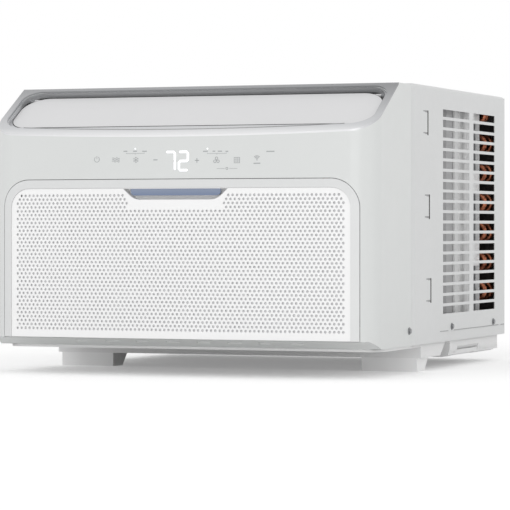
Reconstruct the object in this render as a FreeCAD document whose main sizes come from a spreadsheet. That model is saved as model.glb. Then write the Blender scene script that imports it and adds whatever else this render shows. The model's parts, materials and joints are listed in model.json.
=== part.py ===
import FreeCAD, Part
import Sketcher
import math
import os
from types import SimpleNamespace

# Window air conditioner. Millimetres, +Z up, the room side faces -Y.
# The origin is the middle of the bounding box at the plane of the feet.

Vector = FreeCAD.Vector
Rotation = FreeCAD.Rotation
Placement = FreeCAD.Placement

doc = FreeCAD.newDocument("WindowAirConditioner")

# Driving dimensions: alias, value, what it is.
driving = [
    ("cabinetWidth", 493, "outside width of the sheet-metal cabinet"),
    ("cabinetHeight", 316, "height of the cabinet side"),
    ("overallDepth", 559.5, "front of the bow to the rear fold"),
    ("cabinetGauge", 1, "thickness of the cabinet sheet"),
    ("cabinetBend", 4, "outer radius of the cabinet's top bends"),
    ("joggleLength", 11, "visible sloping strip in front of the cabinet side"),
    ("joggleInset", 2.4, "how far the strip slopes inwards"),
    ("flangeLength", 22, "cabinet flange that the bezel slides over"),
    ("rearFoldLength", 10, "sloping strip along the rear edge"),
    ("rearFoldInset", 1.6, "how far the rear strip slopes inwards"),
    ("rearFlangeWidth", 11, "inward flange around the rear opening"),
    ("footHeight", 17, "height of a foot"),
    ("footWidth", 71, "width of a foot"),
    ("footLength", 30, "length of a foot where it stands"),
    ("footRake", 16, "how far the foot's rear face leans back"),
    ("footInset", 5, "foot in from the pan's side"),
    ("footWall", 2.5, "wall of a foot"),
    ("panDrop", 17, "mid trough below the cabinet's lower edge"),
    ("panWall", 2.5, "wall of the base pan"),
    ("panRim", 26, "pan wall that stands inside the cabinet"),
    ("panInset", 4, "pan side in from the cabinet's outside"),
    ("panFrontDrop", 3.5, "front tray below the cabinet's lower edge"),
    ("panRearDrop", 21, "rear trough below the cabinet's lower edge"),
    ("panFrontSetback", 43.5, "pan's front edge behind the front of the bow"),
    ("panFrontLength", 153, "length of the front tray"),
    ("panMidLength", 80, "length of the mid trough's floor"),
    ("panMidRake", 23, "how far the mid trough's rear wall leans back"),
    ("panBridge", 17, "flat bridge between the mid and rear troughs"),
    ("panRearMargin", 18, "rear trough in from the rear edge"),
    ("panFrontCorner", 24, "plan radius of the pan's front corners"),
    ("panRearRound", 11, "radius of the rear trough's lower edges"),
    ("panFacetStart", 30, "pressed corner behind the rear trough's front"),
    ("panFacetLength", 100, "length of the pressed corner"),
    ("panFacetSize", 13, "size of the pressed corner"),
    ("bezelDepth", 149.2, "front of the bow to the bezel's rear edge"),
    ("bezelInset", 1, "bezel side in from the cabinet's outside"),
    ("bezelTopDrop", 2, "bezel top below the cabinet top"),
    ("bezelCorner", 32, "plan radius of the bezel's front corners"),
    ("bezelWall", 2.5, "wall of the bezel"),
    ("frontBow", 6.5, "sagitta of the bowed front"),
    ("lowerRise", 9.5, "front lower edge above the cabinet's lower edge"),
    ("undercutStart", 17, "sloping underside begins this far behind the bow"),
    ("undercutLength", 20, "length of the sloping underside"),
    ("drainSlots", 8, "slots in the sloping underside"),
    ("drainSlotPitch", 39.5, "spacing of those slots"),
    ("drainSlotLength", 17, "length of a slot"),
    ("drainSlotWidth", 4.5, "width of a slot"),
    ("drainSlotOffset", 7, "middle of the row of slots from the middle plane"),
    ("slopeHeight", 252, "slope's front edge above the cabinet's lower edge"),
    ("slopeAngle", 31.5, "slope of the outlet"),
    ("trimLip", 2, "thickness of the trim's outer lip"),
    ("trimWall", 2, "wall of the trim's sunken tray"),
    ("trimFloor", 1.2, "floor of the trim's sunken tray"),
    ("trimSide", 10, "width of the trim along the sides"),
    ("trimFront", 12.8, "width of the trim at the middle of the front"),
    ("trimRear", 8.5, "width of the trim along the rear"),
    ("trimFrontBow", 9.1, "sagitta of the trim's inner front edge"),
    ("trimStep", 2.2, "width and depth of the step inside the trim"),
    ("trimFrontCorner", 25, "radius of the trim's inner front corners"),
    ("trimRearCorner", 22, "radius of the trim's inner rear corners"),
    ("flapSideGap", 1, "gap at each side of the flap"),
    ("flapFront", 34, "flap's front edge up the slope"),
    ("flapChord", 72, "length of the flap up the slope"),
    ("flapThickness", 3, "thickness of the flap"),
    ("flapRecess", 6.8, "flap's face below the trim's face"),
    ("flapGap", 1, "gap in front of the flap"),
    ("flapFrontCorner", 22, "radius of the flap's front corners"),
    ("flapRearCorner", 30, "radius of the flap's rear corners"),
    ("flapAxisBack", 1.5, "flap's axis in front of its rear edge"),
    ("flapAxisDrop", 2.7, "flap's axis below its face"),
    ("flapPin", 4, "diameter of the flap's pins"),
    ("pinClearance", 0.1, "diametral clearance of a pivot"),
    ("pinInset", 29, "inner end of a flap pin in from the flap's side"),
    ("bearingInset", 7.5, "inner face of a flap bearing in from the flap's side"),
    ("flapBearingWidth", 4, "thickness of a flap bearing"),
    ("motorSize", 13, "diameter of the flap motor"),
    ("motorLength", 7, "length of the flap motor"),
    ("ductMouthDrop", 12, "mouth of the duct below the slope"),
    ("ductRear", 117.1, "rear of the duct's mouth up the slope"),
    ("ductWall", 2, "wall of the outlet duct"),
    ("ductSide", 27.5, "duct's mouth in from the bezel's side"),
    ("throatHeight", 228, "throat above the cabinet's lower edge"),
    ("vanes", 8, "number of air vanes"),
    ("vanePitch", 40, "spacing of the vanes"),
    ("vaneThickness", 1.6, "thickness of a vane"),
    ("vaneAxisDrop", 24, "vane axis below the slope"),
    ("vaneTopDrop", 15, "upper edge of a vane below the slope"),
    ("vaneBottomDrop", 42, "lower edge of a vane below the slope"),
    ("vanePin", 3, "diameter of a vane's pins"),
    ("linkDrop", 37, "link below the slope"),
    ("doorSide", 18, "intake grille in from the bezel's side"),
    ("doorHeight", 189, "height of the intake grille"),
    ("doorCorner", 34, "radius of the grille's upper corners"),
    ("doorGap", 0.7, "gap around the intake grille"),
    ("doorDepth", 11, "depth of the grille's frame"),
    ("doorFrame", 10.2, "width of the grille's frame"),
    ("doorAxisBack", 18, "door axis behind the front of the bow"),
    ("doorAxisRise", 5.8, "door axis above the grille's lower edge"),
    ("doorOpeningDepth", 19, "depth of the bezel's opening for the grille"),
    ("doorEar", 3, "thickness of the bezel's pivot ears"),
    ("doorPin", 4, "diameter of the door's pins"),
    ("panelThickness", 1.6, "thickness of the perforated panel"),
    ("panelRecess", 0.8, "panel's face behind the frame's face"),
    ("panelGap", 0.2, "gap between the panel and its frame"),
    ("pocketTop", 67, "half width of the finger pocket's top"),
    ("pocketBottom", 53, "half width of the finger pocket's bottom"),
    ("pocketHeight", 13, "height of the finger pocket"),
    ("pocketDepth", 15, "depth of the finger pocket"),
    ("lensHalf", 57.5, "half width of the status lens"),
    ("lensHeight", 8, "height of the status lens"),
    ("lensSetback", 2.5, "lens behind the grille's face"),
    ("lensThickness", 2.5, "thickness of the lens"),
    ("filterSide", 9, "filter in from the grille's side"),
    ("filterHeight", 157, "height of the filter"),
    ("filterThickness", 4, "thickness of the filter frame"),
    ("filterBorder", 7, "width of the filter's border"),
    ("louvreRows", 20, "rows of side openings"),
    ("louvrePitch", 12.9, "spacing of the rows"),
    ("louvreOpening", 9.2, "height of an opening"),
    ("louvreTop", 27, "upper opening below the cabinet top"),
    ("louvreFrontStart", 275.5, "front column behind the front of the bow"),
    ("louvreFrontLength", 114, "length of the front column's openings"),
    ("louvrePost", 19, "solid post between the two columns"),
    ("louvreRearMargin", 52.5, "rear column's openings in from the rear fold"),
    ("curtainSlots", 3, "curtain slots on each side"),
    ("curtainPitch", 102.5, "spacing of the curtain slots"),
    ("curtainTop", 31, "upper curtain slot below the cabinet top"),
    ("curtainHeight", 29, "height of a curtain slot"),
    ("curtainLeg", 12, "length of a curtain slot's legs"),
    ("curtainWidth", 2.4, "width of a curtain slot's cut"),
    ("curtainStart", 213.5, "upper curtain slot behind the front of the bow"),
    ("curtainLean", 6, "each slot further back than the one above"),
    ("railHoles", 4, "screw holes of the top rail"),
    ("railHolePitch", 120, "spacing of the rail's screw holes"),
    ("railHoleSize", 4.2, "diameter of a rail screw hole"),
    ("railSetback", 213, "rail holes behind the front of the bow"),
    ("hemRise", 12, "pressed line above the cabinet's lower edge"),
    ("hemDepth", 0.4, "depth of the pressed line"),
    ("screwRise", 18, "side screws above the cabinet's lower edge"),
    ("screwFrontStart", 312.5, "front side screw behind the front of the bow"),
    ("screwRearMargin", 61, "rear side screw in from the rear fold"),
    ("bezelScrewStart", 141, "bezel screw behind the front of the bow"),
    ("screwShank", 4, "diameter of a screw's shank"),
    ("screwHead", 9, "diameter of a screw's flange"),
    ("screwHeadHeight", 2.4, "height of a screw's head"),
    ("screwLength", 7.5, "length of a screw's shank"),
    ("screwClearance", 0.2, "diametral clearance around a shank"),
    ("fanAxisHeight", 136, "fan axis above the cabinet's lower edge"),
    ("shaftSize", 9, "diameter of the motor shaft"),
    ("shaftClearance", 0.1, "diametral clearance on the shaft"),
    ("bulkheadSetback", 208, "bulkhead behind the front of the bow"),
    ("bulkheadGauge", 1.2, "thickness of the bulkhead"),
    ("wheelRadius", 88, "outer radius of the blower wheel"),
    ("wheelInner", 72, "inner radius of the blower's blades"),
    ("wheelWidth", 72, "width of the blower wheel"),
    ("wheelBlades", 28, "blades of the blower wheel"),
    ("housingWall", 2.5, "wall of the blower housing"),
    ("housingDepth", 88, "depth of the blower housing"),
    ("volutePitch", 7, "growth of the volute at each quarter turn"),
    ("voluteGap", 7, "gap between the wheel and the volute's tongue"),
    ("inletRadius", 66, "radius of the blower's inlet"),
    ("motorBodyRadius", 54, "radius of the fan motor"),
    ("motorBodyLength", 92, "length of the fan motor"),
    ("motorGap", 22, "fan motor behind the bulkhead"),
    ("fanAxisX", -30, "fan axis from the middle plane"),
    ("fanRadius", 140, "outer radius of the condenser fan's blades"),
    ("fanBlades", 5, "blades of the condenser fan"),
    ("slingerWidth", 9, "width of the slinger ring"),
    ("fanLead", 10, "condenser fan's front face in front of the shroud's plate"),
    ("fanDepth", 34, "depth of the condenser fan"),
    ("shroudGap", 5, "gap between the slinger ring and the shroud"),
    ("shroudReach", 52, "shroud's plate in front of the condenser"),
    ("shroudWall", 2, "wall of the shroud"),
    ("shroudSide", 14.5, "shroud's wings in from the cabinet's side"),
    ("shroudWingStart", 268, "front end of the wings behind the front of the bow"),
    ("shroudStep", 6, "step of the wings"),
    ("shroudStepStart", 336, "the wings' step behind the front of the bow"),
    ("coilMargin", 23.5, "condenser's rear face in from the rear fold"),
    ("coilDepth", 50, "depth of the condenser"),
    ("coilSide", 32.5, "condenser's fins in from the cabinet's side"),
    ("coilHeight", 300, "height of the condenser"),
    ("endPlate", 1.2, "thickness of a coil's end plate"),
    ("rearFlange", 24, "rear flange of a condenser end plate"),
    ("flangeRise", 20, "the rear flanges start above the end plate's lower edge"),
    ("endFlange", 9, "front flange of a condenser end plate"),
    ("tubeSize", 8, "diameter of the coil tubes"),
    ("tubePitch", 19.35, "spacing of the coil tubes"),
    ("bendLeg", 6, "straight leg of a return bend"),
    ("condenserBends", 7, "return bends at each end of the condenser"),
    ("evaporatorSetback", 50, "evaporator behind the front of the bow"),
    ("evaporatorDepth", 44, "depth of the evaporator"),
    ("evaporatorSide", 62.5, "evaporator's fins in from the cabinet's side"),
    ("evaporatorHeight", 164, "height of the evaporator"),
    ("evaporatorBends", 4, "return bends at each end of the evaporator"),
    ("trayHeight", 14, "height of the drip tray"),
    ("trayWall", 2, "wall of the drip tray"),
    ("compressorSide", 81.5, "compressor's axis in from the cabinet's side"),
    ("compressorLead", 58, "compressor's axis in front of the shroud's plate"),
    ("compressorRadius", 46, "radius of the compressor"),
    ("compressorHeight", 176, "height of the compressor's shell"),
    ("compressorFeet", 3, "feet of the compressor"),
    ("compressorFeetRadius", 54, "radius of the circle through the feet"),
    ("grommetHeight", 14, "height of a compressor grommet"),
    ("grommetRadius", 8, "radius of a compressor grommet"),
    ("boltSize", 6, "diameter of a compressor bolt"),
    ("accumulatorRadius", 21, "radius of the accumulator"),
    ("accumulatorHeight", 110, "height of the accumulator"),
    ("pipeSize", 9.5, "diameter of the refrigerant pipes"),
    ("capillarySize", 3, "diameter of the capillary tube"),
    ("boxSide", 39.5, "inner side of the control box in from the cabinet's side"),
    ("boxWidth", 34.5, "width of the control box"),
    ("boxDepth", 65, "depth of the control box"),
    ("boxHeight", 150, "height of the control box"),
    ("boxSetback", 60, "control box behind the front of the bow"),
    ("boxWall", 1.5, "wall of the control box"),
    ("displayHalf", 140, "half width of the display board"),
    ("displayHeight", 34, "height of the display board"),
    ("displayRise", 208, "display board above the cabinet's lower edge"),
    ("boardThickness", 1.6, "thickness of a circuit board"),
    ("seat", 0.3, "gap where one piece is slipped beside another"),
]


class Size:
    """A number that keeps the spreadsheet expression it comes from."""

    def __init__(self, value, text):
        self.value = float(value)
        self.text = text

    def __float__(self):
        return self.value

    def __add__(self, other):
        other = sized(other)
        return Size(self.value + other.value, f"({self.text} + {other.text})")

    def __sub__(self, other):
        other = sized(other)
        return Size(self.value - other.value, f"({self.text} - {other.text})")

    def __mul__(self, other):
        other = sized(other)
        return Size(self.value * other.value, f"({self.text} * {other.text})")

    def __truediv__(self, other):
        other = sized(other)
        return Size(self.value / other.value, f"({self.text} / {other.text})")

    def __neg__(self):
        return Size(-self.value, f"(0 - {self.text})")

    def __radd__(self, other):
        return sized(other) + self

    def __rsub__(self, other):
        return sized(other) - self

    def __rmul__(self, other):
        return sized(other) * self


def sized(number):
    return number if isinstance(number, Size) else Size(number, repr(number))


def cosine(angle):
    return Size(math.cos(math.radians(angle.value)), f"cos({angle.text})")


def sine(angle):
    return Size(math.sin(math.radians(angle.value)), f"sin({angle.text})")


sheet = doc.addObject("Spreadsheet::Sheet", "Sizes")
size = SimpleNamespace()
for row, (alias, value, meaning) in enumerate(driving, start=1):
    sheet.set(f"A{row}", alias)
    sheet.set(f"B{row}", str(value))
    sheet.set(f"C{row}", meaning)
    sheet.setAlias(f"B{row}", alias)
    setattr(size, alias, Size(value, f"Sizes.{alias}"))
doc.recompute()

subParts = []


def keep(item, label):
    """Register a finished object as a sub-part under its own label."""
    item.Label = label
    subParts.append(item)
    return item


def bind(item, **sizes):
    """Tie properties to the sheet; a double underscore stands for a dot."""
    for name, amount in sizes.items():
        item.setExpression(name.replace("__", "."), sized(amount).text)


def seated(item, x=0, y=0, z=0):
    bind(item, Placement__Base__x=x, Placement__Base__y=y, Placement__Base__z=z)


# ---------------------------------------------------------------- sketches

def addOutline(sketch, corners, arcs=None):
    """Close a loop through the corners; arcs gives {edge: (radius, bulge side)}."""
    arcs = arcs or {}
    first = sketch.GeometryCount
    count = len(corners)
    points = [Vector(float(x), float(y), 0) for x, y in corners]
    starts = []
    for index, start in enumerate(points):
        end = points[(index + 1) % count]
        if index in arcs:
            radius, side = arcs[index]
            middle = (start + end) * 0.5
            half = (end - start).Length / 2
            across = Vector(end.y - start.y, start.x - end.x, 0).normalize()
            rise = math.sqrt(max(float(radius) ** 2 - half ** 2, 0))
            centre = middle - across * (side * rise)
            low, high = (start, end) if side > 0 else (end, start)
            turn = math.atan2(low.y - centre.y, low.x - centre.x)
            stop = math.atan2(high.y - centre.y, high.x - centre.x)
            if stop < turn:
                stop += 2 * math.pi
            circle = Part.Circle(centre, Vector(0, 0, 1), float(radius))
            sketch.addGeometry(Part.ArcOfCircle(circle, turn, stop))
            starts.append(1 if side > 0 else 2)
        else:
            sketch.addGeometry(Part.LineSegment(start, end))
            starts.append(1)
    for index, (x, y) in enumerate(corners):
        edge = first + index
        before = first + (index - 1) % count
        startPoint = starts[index]
        endPoint = 3 - starts[(index - 1) % count]
        sketch.addConstraint(Sketcher.Constraint("Coincident", before, endPoint, edge, startPoint))
        across = sketch.addConstraint(
            Sketcher.Constraint("DistanceX", -1, 1, edge, startPoint, points[index].x))
        upward = sketch.addConstraint(
            Sketcher.Constraint("DistanceY", -1, 1, edge, startPoint, points[index].y))
        sketch.setExpression(f"Constraints[{across}]", sized(x).text)
        sketch.setExpression(f"Constraints[{upward}]", sized(y).text)
    for index, (radius, side) in arcs.items():
        bound = sketch.addConstraint(Sketcher.Constraint("Radius", first + index, float(radius)))
        sketch.setExpression(f"Constraints[{bound}]", sized(radius).text)


def addCircle(sketch, x, y, radius):
    """A circle whose centre and radius are tied to the sheet."""
    circle = Part.Circle(Vector(float(x), float(y), 0), Vector(0, 0, 1), float(radius))
    index = sketch.addGeometry(circle)
    across = sketch.addConstraint(Sketcher.Constraint("DistanceX", -1, 1, index, 3, float(x)))
    upward = sketch.addConstraint(Sketcher.Constraint("DistanceY", -1, 1, index, 3, float(y)))
    bound = sketch.addConstraint(Sketcher.Constraint("Radius", index, float(radius)))
    sketch.setExpression(f"Constraints[{across}]", sized(x).text)
    sketch.setExpression(f"Constraints[{upward}]", sized(y).text)
    sketch.setExpression(f"Constraints[{bound}]", sized(radius).text)


def addSketch(body, plane, at=0):
    """A sketch on one of the body's own origin planes, moved along that plane's normal."""
    sketch = body.newObject("Sketcher::SketchObject", f"{body.Name}Sketch")
    support = next(item for item in body.Origin.OriginFeatures if item.Role == f"{plane}_Plane")
    sketch.AttachmentSupport = [(support, "")]
    sketch.MapMode = "FlatFace"
    bind(sketch, AttachmentOffset__Base__z=at)
    return sketch


def addSlopeSketch(body):
    """A sketch on the sloping plane of the outlet; its y runs up the slope."""
    sketch = addSketch(body, "XY", slopeFrontZ)
    turn = Rotation(Vector(1, 0, 0), float(size.slopeAngle))
    sketch.AttachmentOffset = Placement(Vector(0, float(frontY), float(slopeFrontZ)), turn)
    bind(sketch, AttachmentOffset__Base__y=frontY, AttachmentOffset__Rotation__Angle=size.slopeAngle)
    return sketch


def rectangle(left, right, low, high):
    return [(left, low), (right, low), (right, high), (left, high)]


def roundedRectangle(left, right, low, high, lowRadius, highRadius):
    """Corners and arcs of a rectangle whose lower and upper corners are rounded."""
    corners = [
        (left + lowRadius, low), (right - lowRadius, low),
        (right, low + lowRadius), (right, high - highRadius),
        (right - highRadius, high), (left + highRadius, high),
        (left, high - highRadius), (left, low + lowRadius),
    ]
    arcs = {1: (lowRadius, 1), 3: (highRadius, 1), 5: (highRadius, 1), 7: (lowRadius, 1)}
    return corners, arcs


# ---------------------------------------------------------------- features

def newBody(name):
    return doc.addObject("PartDesign::Body", name)


def addFeature(body, kind, sketch, length, reverse=False, middle=False):
    feature = body.newObject(f"PartDesign::{kind}", f"{body.Name}{kind}")
    feature.Profile = sketch
    sketch.Visibility = False
    if length is None:
        feature.Type = "ThroughAll"
    else:
        feature.Type = "Length"
        bind(feature, Length=length)
    if middle:
        feature.Midplane = True
    feature.Reversed = reverse
    body.Tip = feature
    return feature


def pad(body, plane, at, shape, length, reverse=False, middle=False):
    sketch = addSketch(body, plane, at)
    addOutline(sketch, *outlineOf(shape))
    return addFeature(body, "Pad", sketch, length, reverse, middle)


def outlineOf(shape):
    """Split a shape into its corners and its arcs."""
    return shape if isinstance(shape, tuple) else (shape, {})


def cut(body, plane, at, shapes, length=None, reverse=False, middle=False):
    """Pocket one outline, or several outlines at once, and make sure that it bites."""
    sketch = addSketch(body, plane, at)
    return cutSketch(body, sketch, shapes, length, reverse, middle)


def cutSketch(body, sketch, shapes, length=None, reverse=False, middle=False):
    doc.recompute()
    before = body.Shape.Volume
    for shape in shapes if isinstance(shapes, Outlines) else [shapes]:
        if isinstance(shape, Circle):
            addCircle(sketch, shape.x, shape.y, shape.radius)
        else:
            addOutline(sketch, *outlineOf(shape))
    feature = addFeature(body, "Pocket", sketch, length, reverse, middle)
    doc.recompute()
    if body.Shape.Volume > before - 1e-3:
        raise RuntimeError(f"{body.Label}: {feature.Name} cuts nothing")
    return feature


class Outlines(list):
    """Several outlines that share one sketch."""


class Circle:
    def __init__(self, x, y, radius):
        self.x = x
        self.y = y
        self.radius = radius


def repeat(body, feature, sketch, axis, length, count):
    """Repeat a feature along an axis of its own sketch."""
    pattern = body.newObject("PartDesign::LinearPattern", f"{body.Name}Pattern")
    pattern.Originals = [feature]
    pattern.Direction = (sketch, [axis])
    bind(pattern, Length=length, Occurrences=count)
    body.Tip = pattern
    return pattern


def edgesAlong(shape, direction, test):
    """Names of the straight edges along a direction whose middle passes the test."""
    names = []
    for number, edge in enumerate(shape.Edges, start=1):
        if len(edge.Vertexes) != 2 or edge.Curve.TypeId != "Part::GeomLine":
            continue
        along = (edge.Vertexes[1].Point - edge.Vertexes[0].Point).normalize()
        if abs(along.dot(direction)) > 0.999 and test(edge.CenterOfMass):
            names.append(f"Edge{number}")
    return names


def soften(body, kind, direction, test, amount):
    """Fillet or chamfer the straight edges along a direction that pass the test."""
    doc.recompute()
    base = body.Tip
    names = edgesAlong(base.Shape, direction, test)
    feature = body.newObject(f"PartDesign::{kind}", f"{body.Name}{kind}")
    feature.Base = (base, names)
    if kind == "Fillet":
        bind(feature, Radius=amount)
    else:
        bind(feature, Size=amount)
    body.Tip = feature
    return feature


def roundCorners(radius, sides, centre, axis):
    """Corners of a regular polygon about an axis; they lie on the radius."""
    axis = Vector(axis).normalize()
    first = axis.cross(Vector(0.3, 0.5, 0.8)).normalize() * radius
    second = axis.cross(first)
    corners = []
    for number in range(sides):
        angle = 2 * math.pi * number / sides
        corners.append(centre + first * math.cos(angle) + second * math.sin(angle))
    return corners


def prism(radius, length, sides, start, axis):
    """A many-sided bar along an axis."""
    corners = roundCorners(radius, sides, start, axis)
    along = Vector(axis).normalize() * length
    return Part.Face(Part.makePolygon(corners + corners[:1])).extrude(along)


def frustum(radius, endRadius, length, sides, start, axis):
    """A many-sided bar that tapers along an axis."""
    low = roundCorners(radius, sides, start, axis)
    high = roundCorners(endRadius, sides, start + Vector(axis).normalize() * length, axis)
    faces = [low, high]
    for number in range(sides):
        other = (number + 1) % sides
        faces.append([low[number], low[other], high[other], high[number]])
    return polyhedron(faces)


def polyhedron(faces):
    """A solid with flat faces, each given by its corners."""
    shell = Part.Shell([Part.Face(Part.makePolygon(face + face[:1])) for face in faces])
    return Part.Solid(shell)


def solid(label, shape):
    """A piece made with Part's own functions from the sheet's values."""
    if shape.Volume < 0:
        shape.reverse()
    item = doc.addObject("Part::Feature", label)
    item.Shape = shape
    item.Placement = Placement()
    return keep(item, label)


# ---------------------------------------------------------------- datums

frontY = -size.overallDepth / 2
rearY = size.overallDepth / 2
floorZ = size.footHeight + size.panDrop
topZ = floorZ + size.cabinetHeight
cabinetHalf = size.cabinetWidth / 2
innerHalf = cabinetHalf - size.cabinetGauge
bezelHalf = cabinetHalf - size.bezelInset
bezelBackY = frontY + size.bezelDepth
bezelTopZ = topZ - size.bezelTopDrop
cabinetFrontY = bezelBackY + size.joggleLength
cornerY = frontY + size.frontBow
bowHalf = bezelHalf - size.bezelCorner
bowRadius = (bowHalf * bowHalf + size.frontBow * size.frontBow) / (size.frontBow * 2)
cosSlope = cosine(size.slopeAngle)
sinSlope = sine(size.slopeAngle)
slopeFrontZ = floorZ + size.slopeHeight
slopeRearY = frontY + (bezelTopZ - slopeFrontZ) * cosSlope / sinSlope
slopeLength = (slopeRearY - frontY) / cosSlope
panHalf = cabinetHalf - size.panInset
panFloorZ = floorZ - size.panRearDrop + size.panWall
bulkheadY = frontY + size.bulkheadSetback
fanAxisZ = floorZ + size.fanAxisHeight
doorLowZ = floorZ + size.lowerRise + size.doorGap
doorHighZ = doorLowZ + size.doorHeight
doorAxisY = frontY + size.doorAxisBack
doorAxisZ = doorLowZ + size.doorAxisRise
trimHalf = bezelHalf - size.trimSide
flapHalf = trimHalf - size.flapSideGap
flapBearing = flapHalf - size.bearingInset
flapPinStart = flapHalf - size.pinInset
doorHalf = bezelHalf - size.doorSide
filterHalf = doorHalf - size.filterSide
ductHalf = bezelHalf - size.ductSide
evaporatorHalf = cabinetHalf - size.evaporatorSide
coilHalf = cabinetHalf - size.coilSide
shroudHalf = cabinetHalf - size.shroudSide
compressorX = cabinetHalf - size.compressorSide
boxX = cabinetHalf - size.boxSide
coilY = rearY - size.coilMargin - size.coilDepth
shroudY = coilY - size.shroudReach
fanY = shroudY - size.fanLead
compressorY = shroudY - size.compressorLead
flapRear = size.flapFront + size.flapChord
flapAxisUp = flapRear - size.flapAxisBack
flapAxisDrop = size.flapRecess + size.flapAxisDrop
beyond = sized(20)


def slopeZ(y, drop=0):
    """Height of the sloping plane at a depth, or of a plane that lies below it."""
    return slopeFrontZ + (y - frontY) * sinSlope / cosSlope - sized(drop) / cosSlope


def slopePoint(x, up, drop):
    """A point given by its place up the slope and its depth below the slope."""
    y = float(frontY) + float(up) * float(cosSlope) + float(drop) * float(sinSlope)
    z = float(slopeFrontZ) + float(up) * float(sinSlope) - float(drop) * float(cosSlope)
    return Vector(float(x), y, z)


def frontOutline(inset, backY):
    """Plan of the bowed front with its rounded corners, moved inwards by an inset."""
    side = bezelHalf - inset
    low = cornerY + inset
    corners = [
        (-side, backY), (-side, cornerY + size.bezelCorner),
        (-bowHalf, low), (bowHalf, low),
        (side, cornerY + size.bezelCorner), (side, backY),
    ]
    corner = size.bezelCorner - inset
    return corners, {1: (corner, 1), 2: (bowRadius - inset, 1), 3: (corner, 1)}


def cutInFront(body, inset):
    """Trim a piece to the bowed front, moved back by an inset."""
    side = bezelHalf - inset
    low = cornerY + inset
    wide = cabinetHalf + beyond
    corners = [
        (-wide, frontY - beyond), (wide, frontY - beyond),
        (wide, cornerY + size.bezelCorner), (side, cornerY + size.bezelCorner),
        (bowHalf, low), (-bowHalf, low),
        (-side, cornerY + size.bezelCorner), (-wide, cornerY + size.bezelCorner),
    ]
    corner = size.bezelCorner - inset
    arcs = {3: (corner, -1), 4: (bowRadius - inset, -1), 5: (corner, -1)}
    cut(body, "XY", topZ, (corners, arcs))


def cutBehind(body, inset, backY):
    """Hollow a piece up to the bowed front, moved back by an inset."""
    cut(body, "XY", topZ, frontOutline(inset, backY))


# ---------------------------------------------------------------- cabinet

def sheetProfile(inset, lowZ):
    """The bent cabinet sheet seen from the front, moved inwards by an inset."""
    side = cabinetHalf - inset
    high = topZ - inset
    bend = size.cabinetBend
    gauge = size.cabinetGauge
    corners = [
        (-side, lowZ), (-side + gauge, lowZ),
        (-side + gauge, high - bend), (-side + bend, high - gauge),
        (side - bend, high - gauge), (side - gauge, high - bend),
        (side - gauge, lowZ), (side, lowZ),
        (side, high - bend), (side - bend, high),
        (-side + bend, high), (-side, high - bend),
    ]
    inner = bend - gauge
    return corners, {2: (inner, -1), 4: (inner, -1), 8: (bend, 1), 10: (bend, 1)}


def loftSheet(body, stations):
    """Join the sheet's profile from one depth to the next; stations are (y, inset)."""
    for (startY, startInset), (endY, endInset) in zip(stations, stations[1:]):
        sketches = []
        for y, inset in ((startY, startInset), (endY, endInset)):
            sketch = addSketch(body, "XZ", -y)
            addOutline(sketch, *sheetProfile(inset, floorZ))
            sketches.append(sketch)
        loft = body.newObject("PartDesign::AdditiveLoft", "SheetLoft")
        loft.Profile = sketches[0]
        loft.Sections = [sketches[1]]
        loft.Ruled = True
        body.Tip = loft


def curtainOutline(number):
    """One lanced curtain slot, open towards the front."""
    high = topZ - size.curtainTop - size.curtainPitch * number
    low = high - size.curtainHeight
    back = frontY + size.curtainStart + size.curtainLean * number
    width = size.curtainWidth
    leg = back - size.curtainLeg
    return [
        (leg, low), (back, low), (back, high), (leg, high),
        (leg, high - width), (back - width, high - width),
        (back - width, low + width), (leg, low + width),
    ]


def screwPlaces():
    """Depth and height of the side screws: bezel, front and rear."""
    rise = floorZ + size.screwRise
    return [
        (frontY + size.bezelScrewStart, rise),
        (frontY + size.screwFrontStart, rise),
        (rearY - size.screwRearMargin, rise),
    ]


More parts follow.
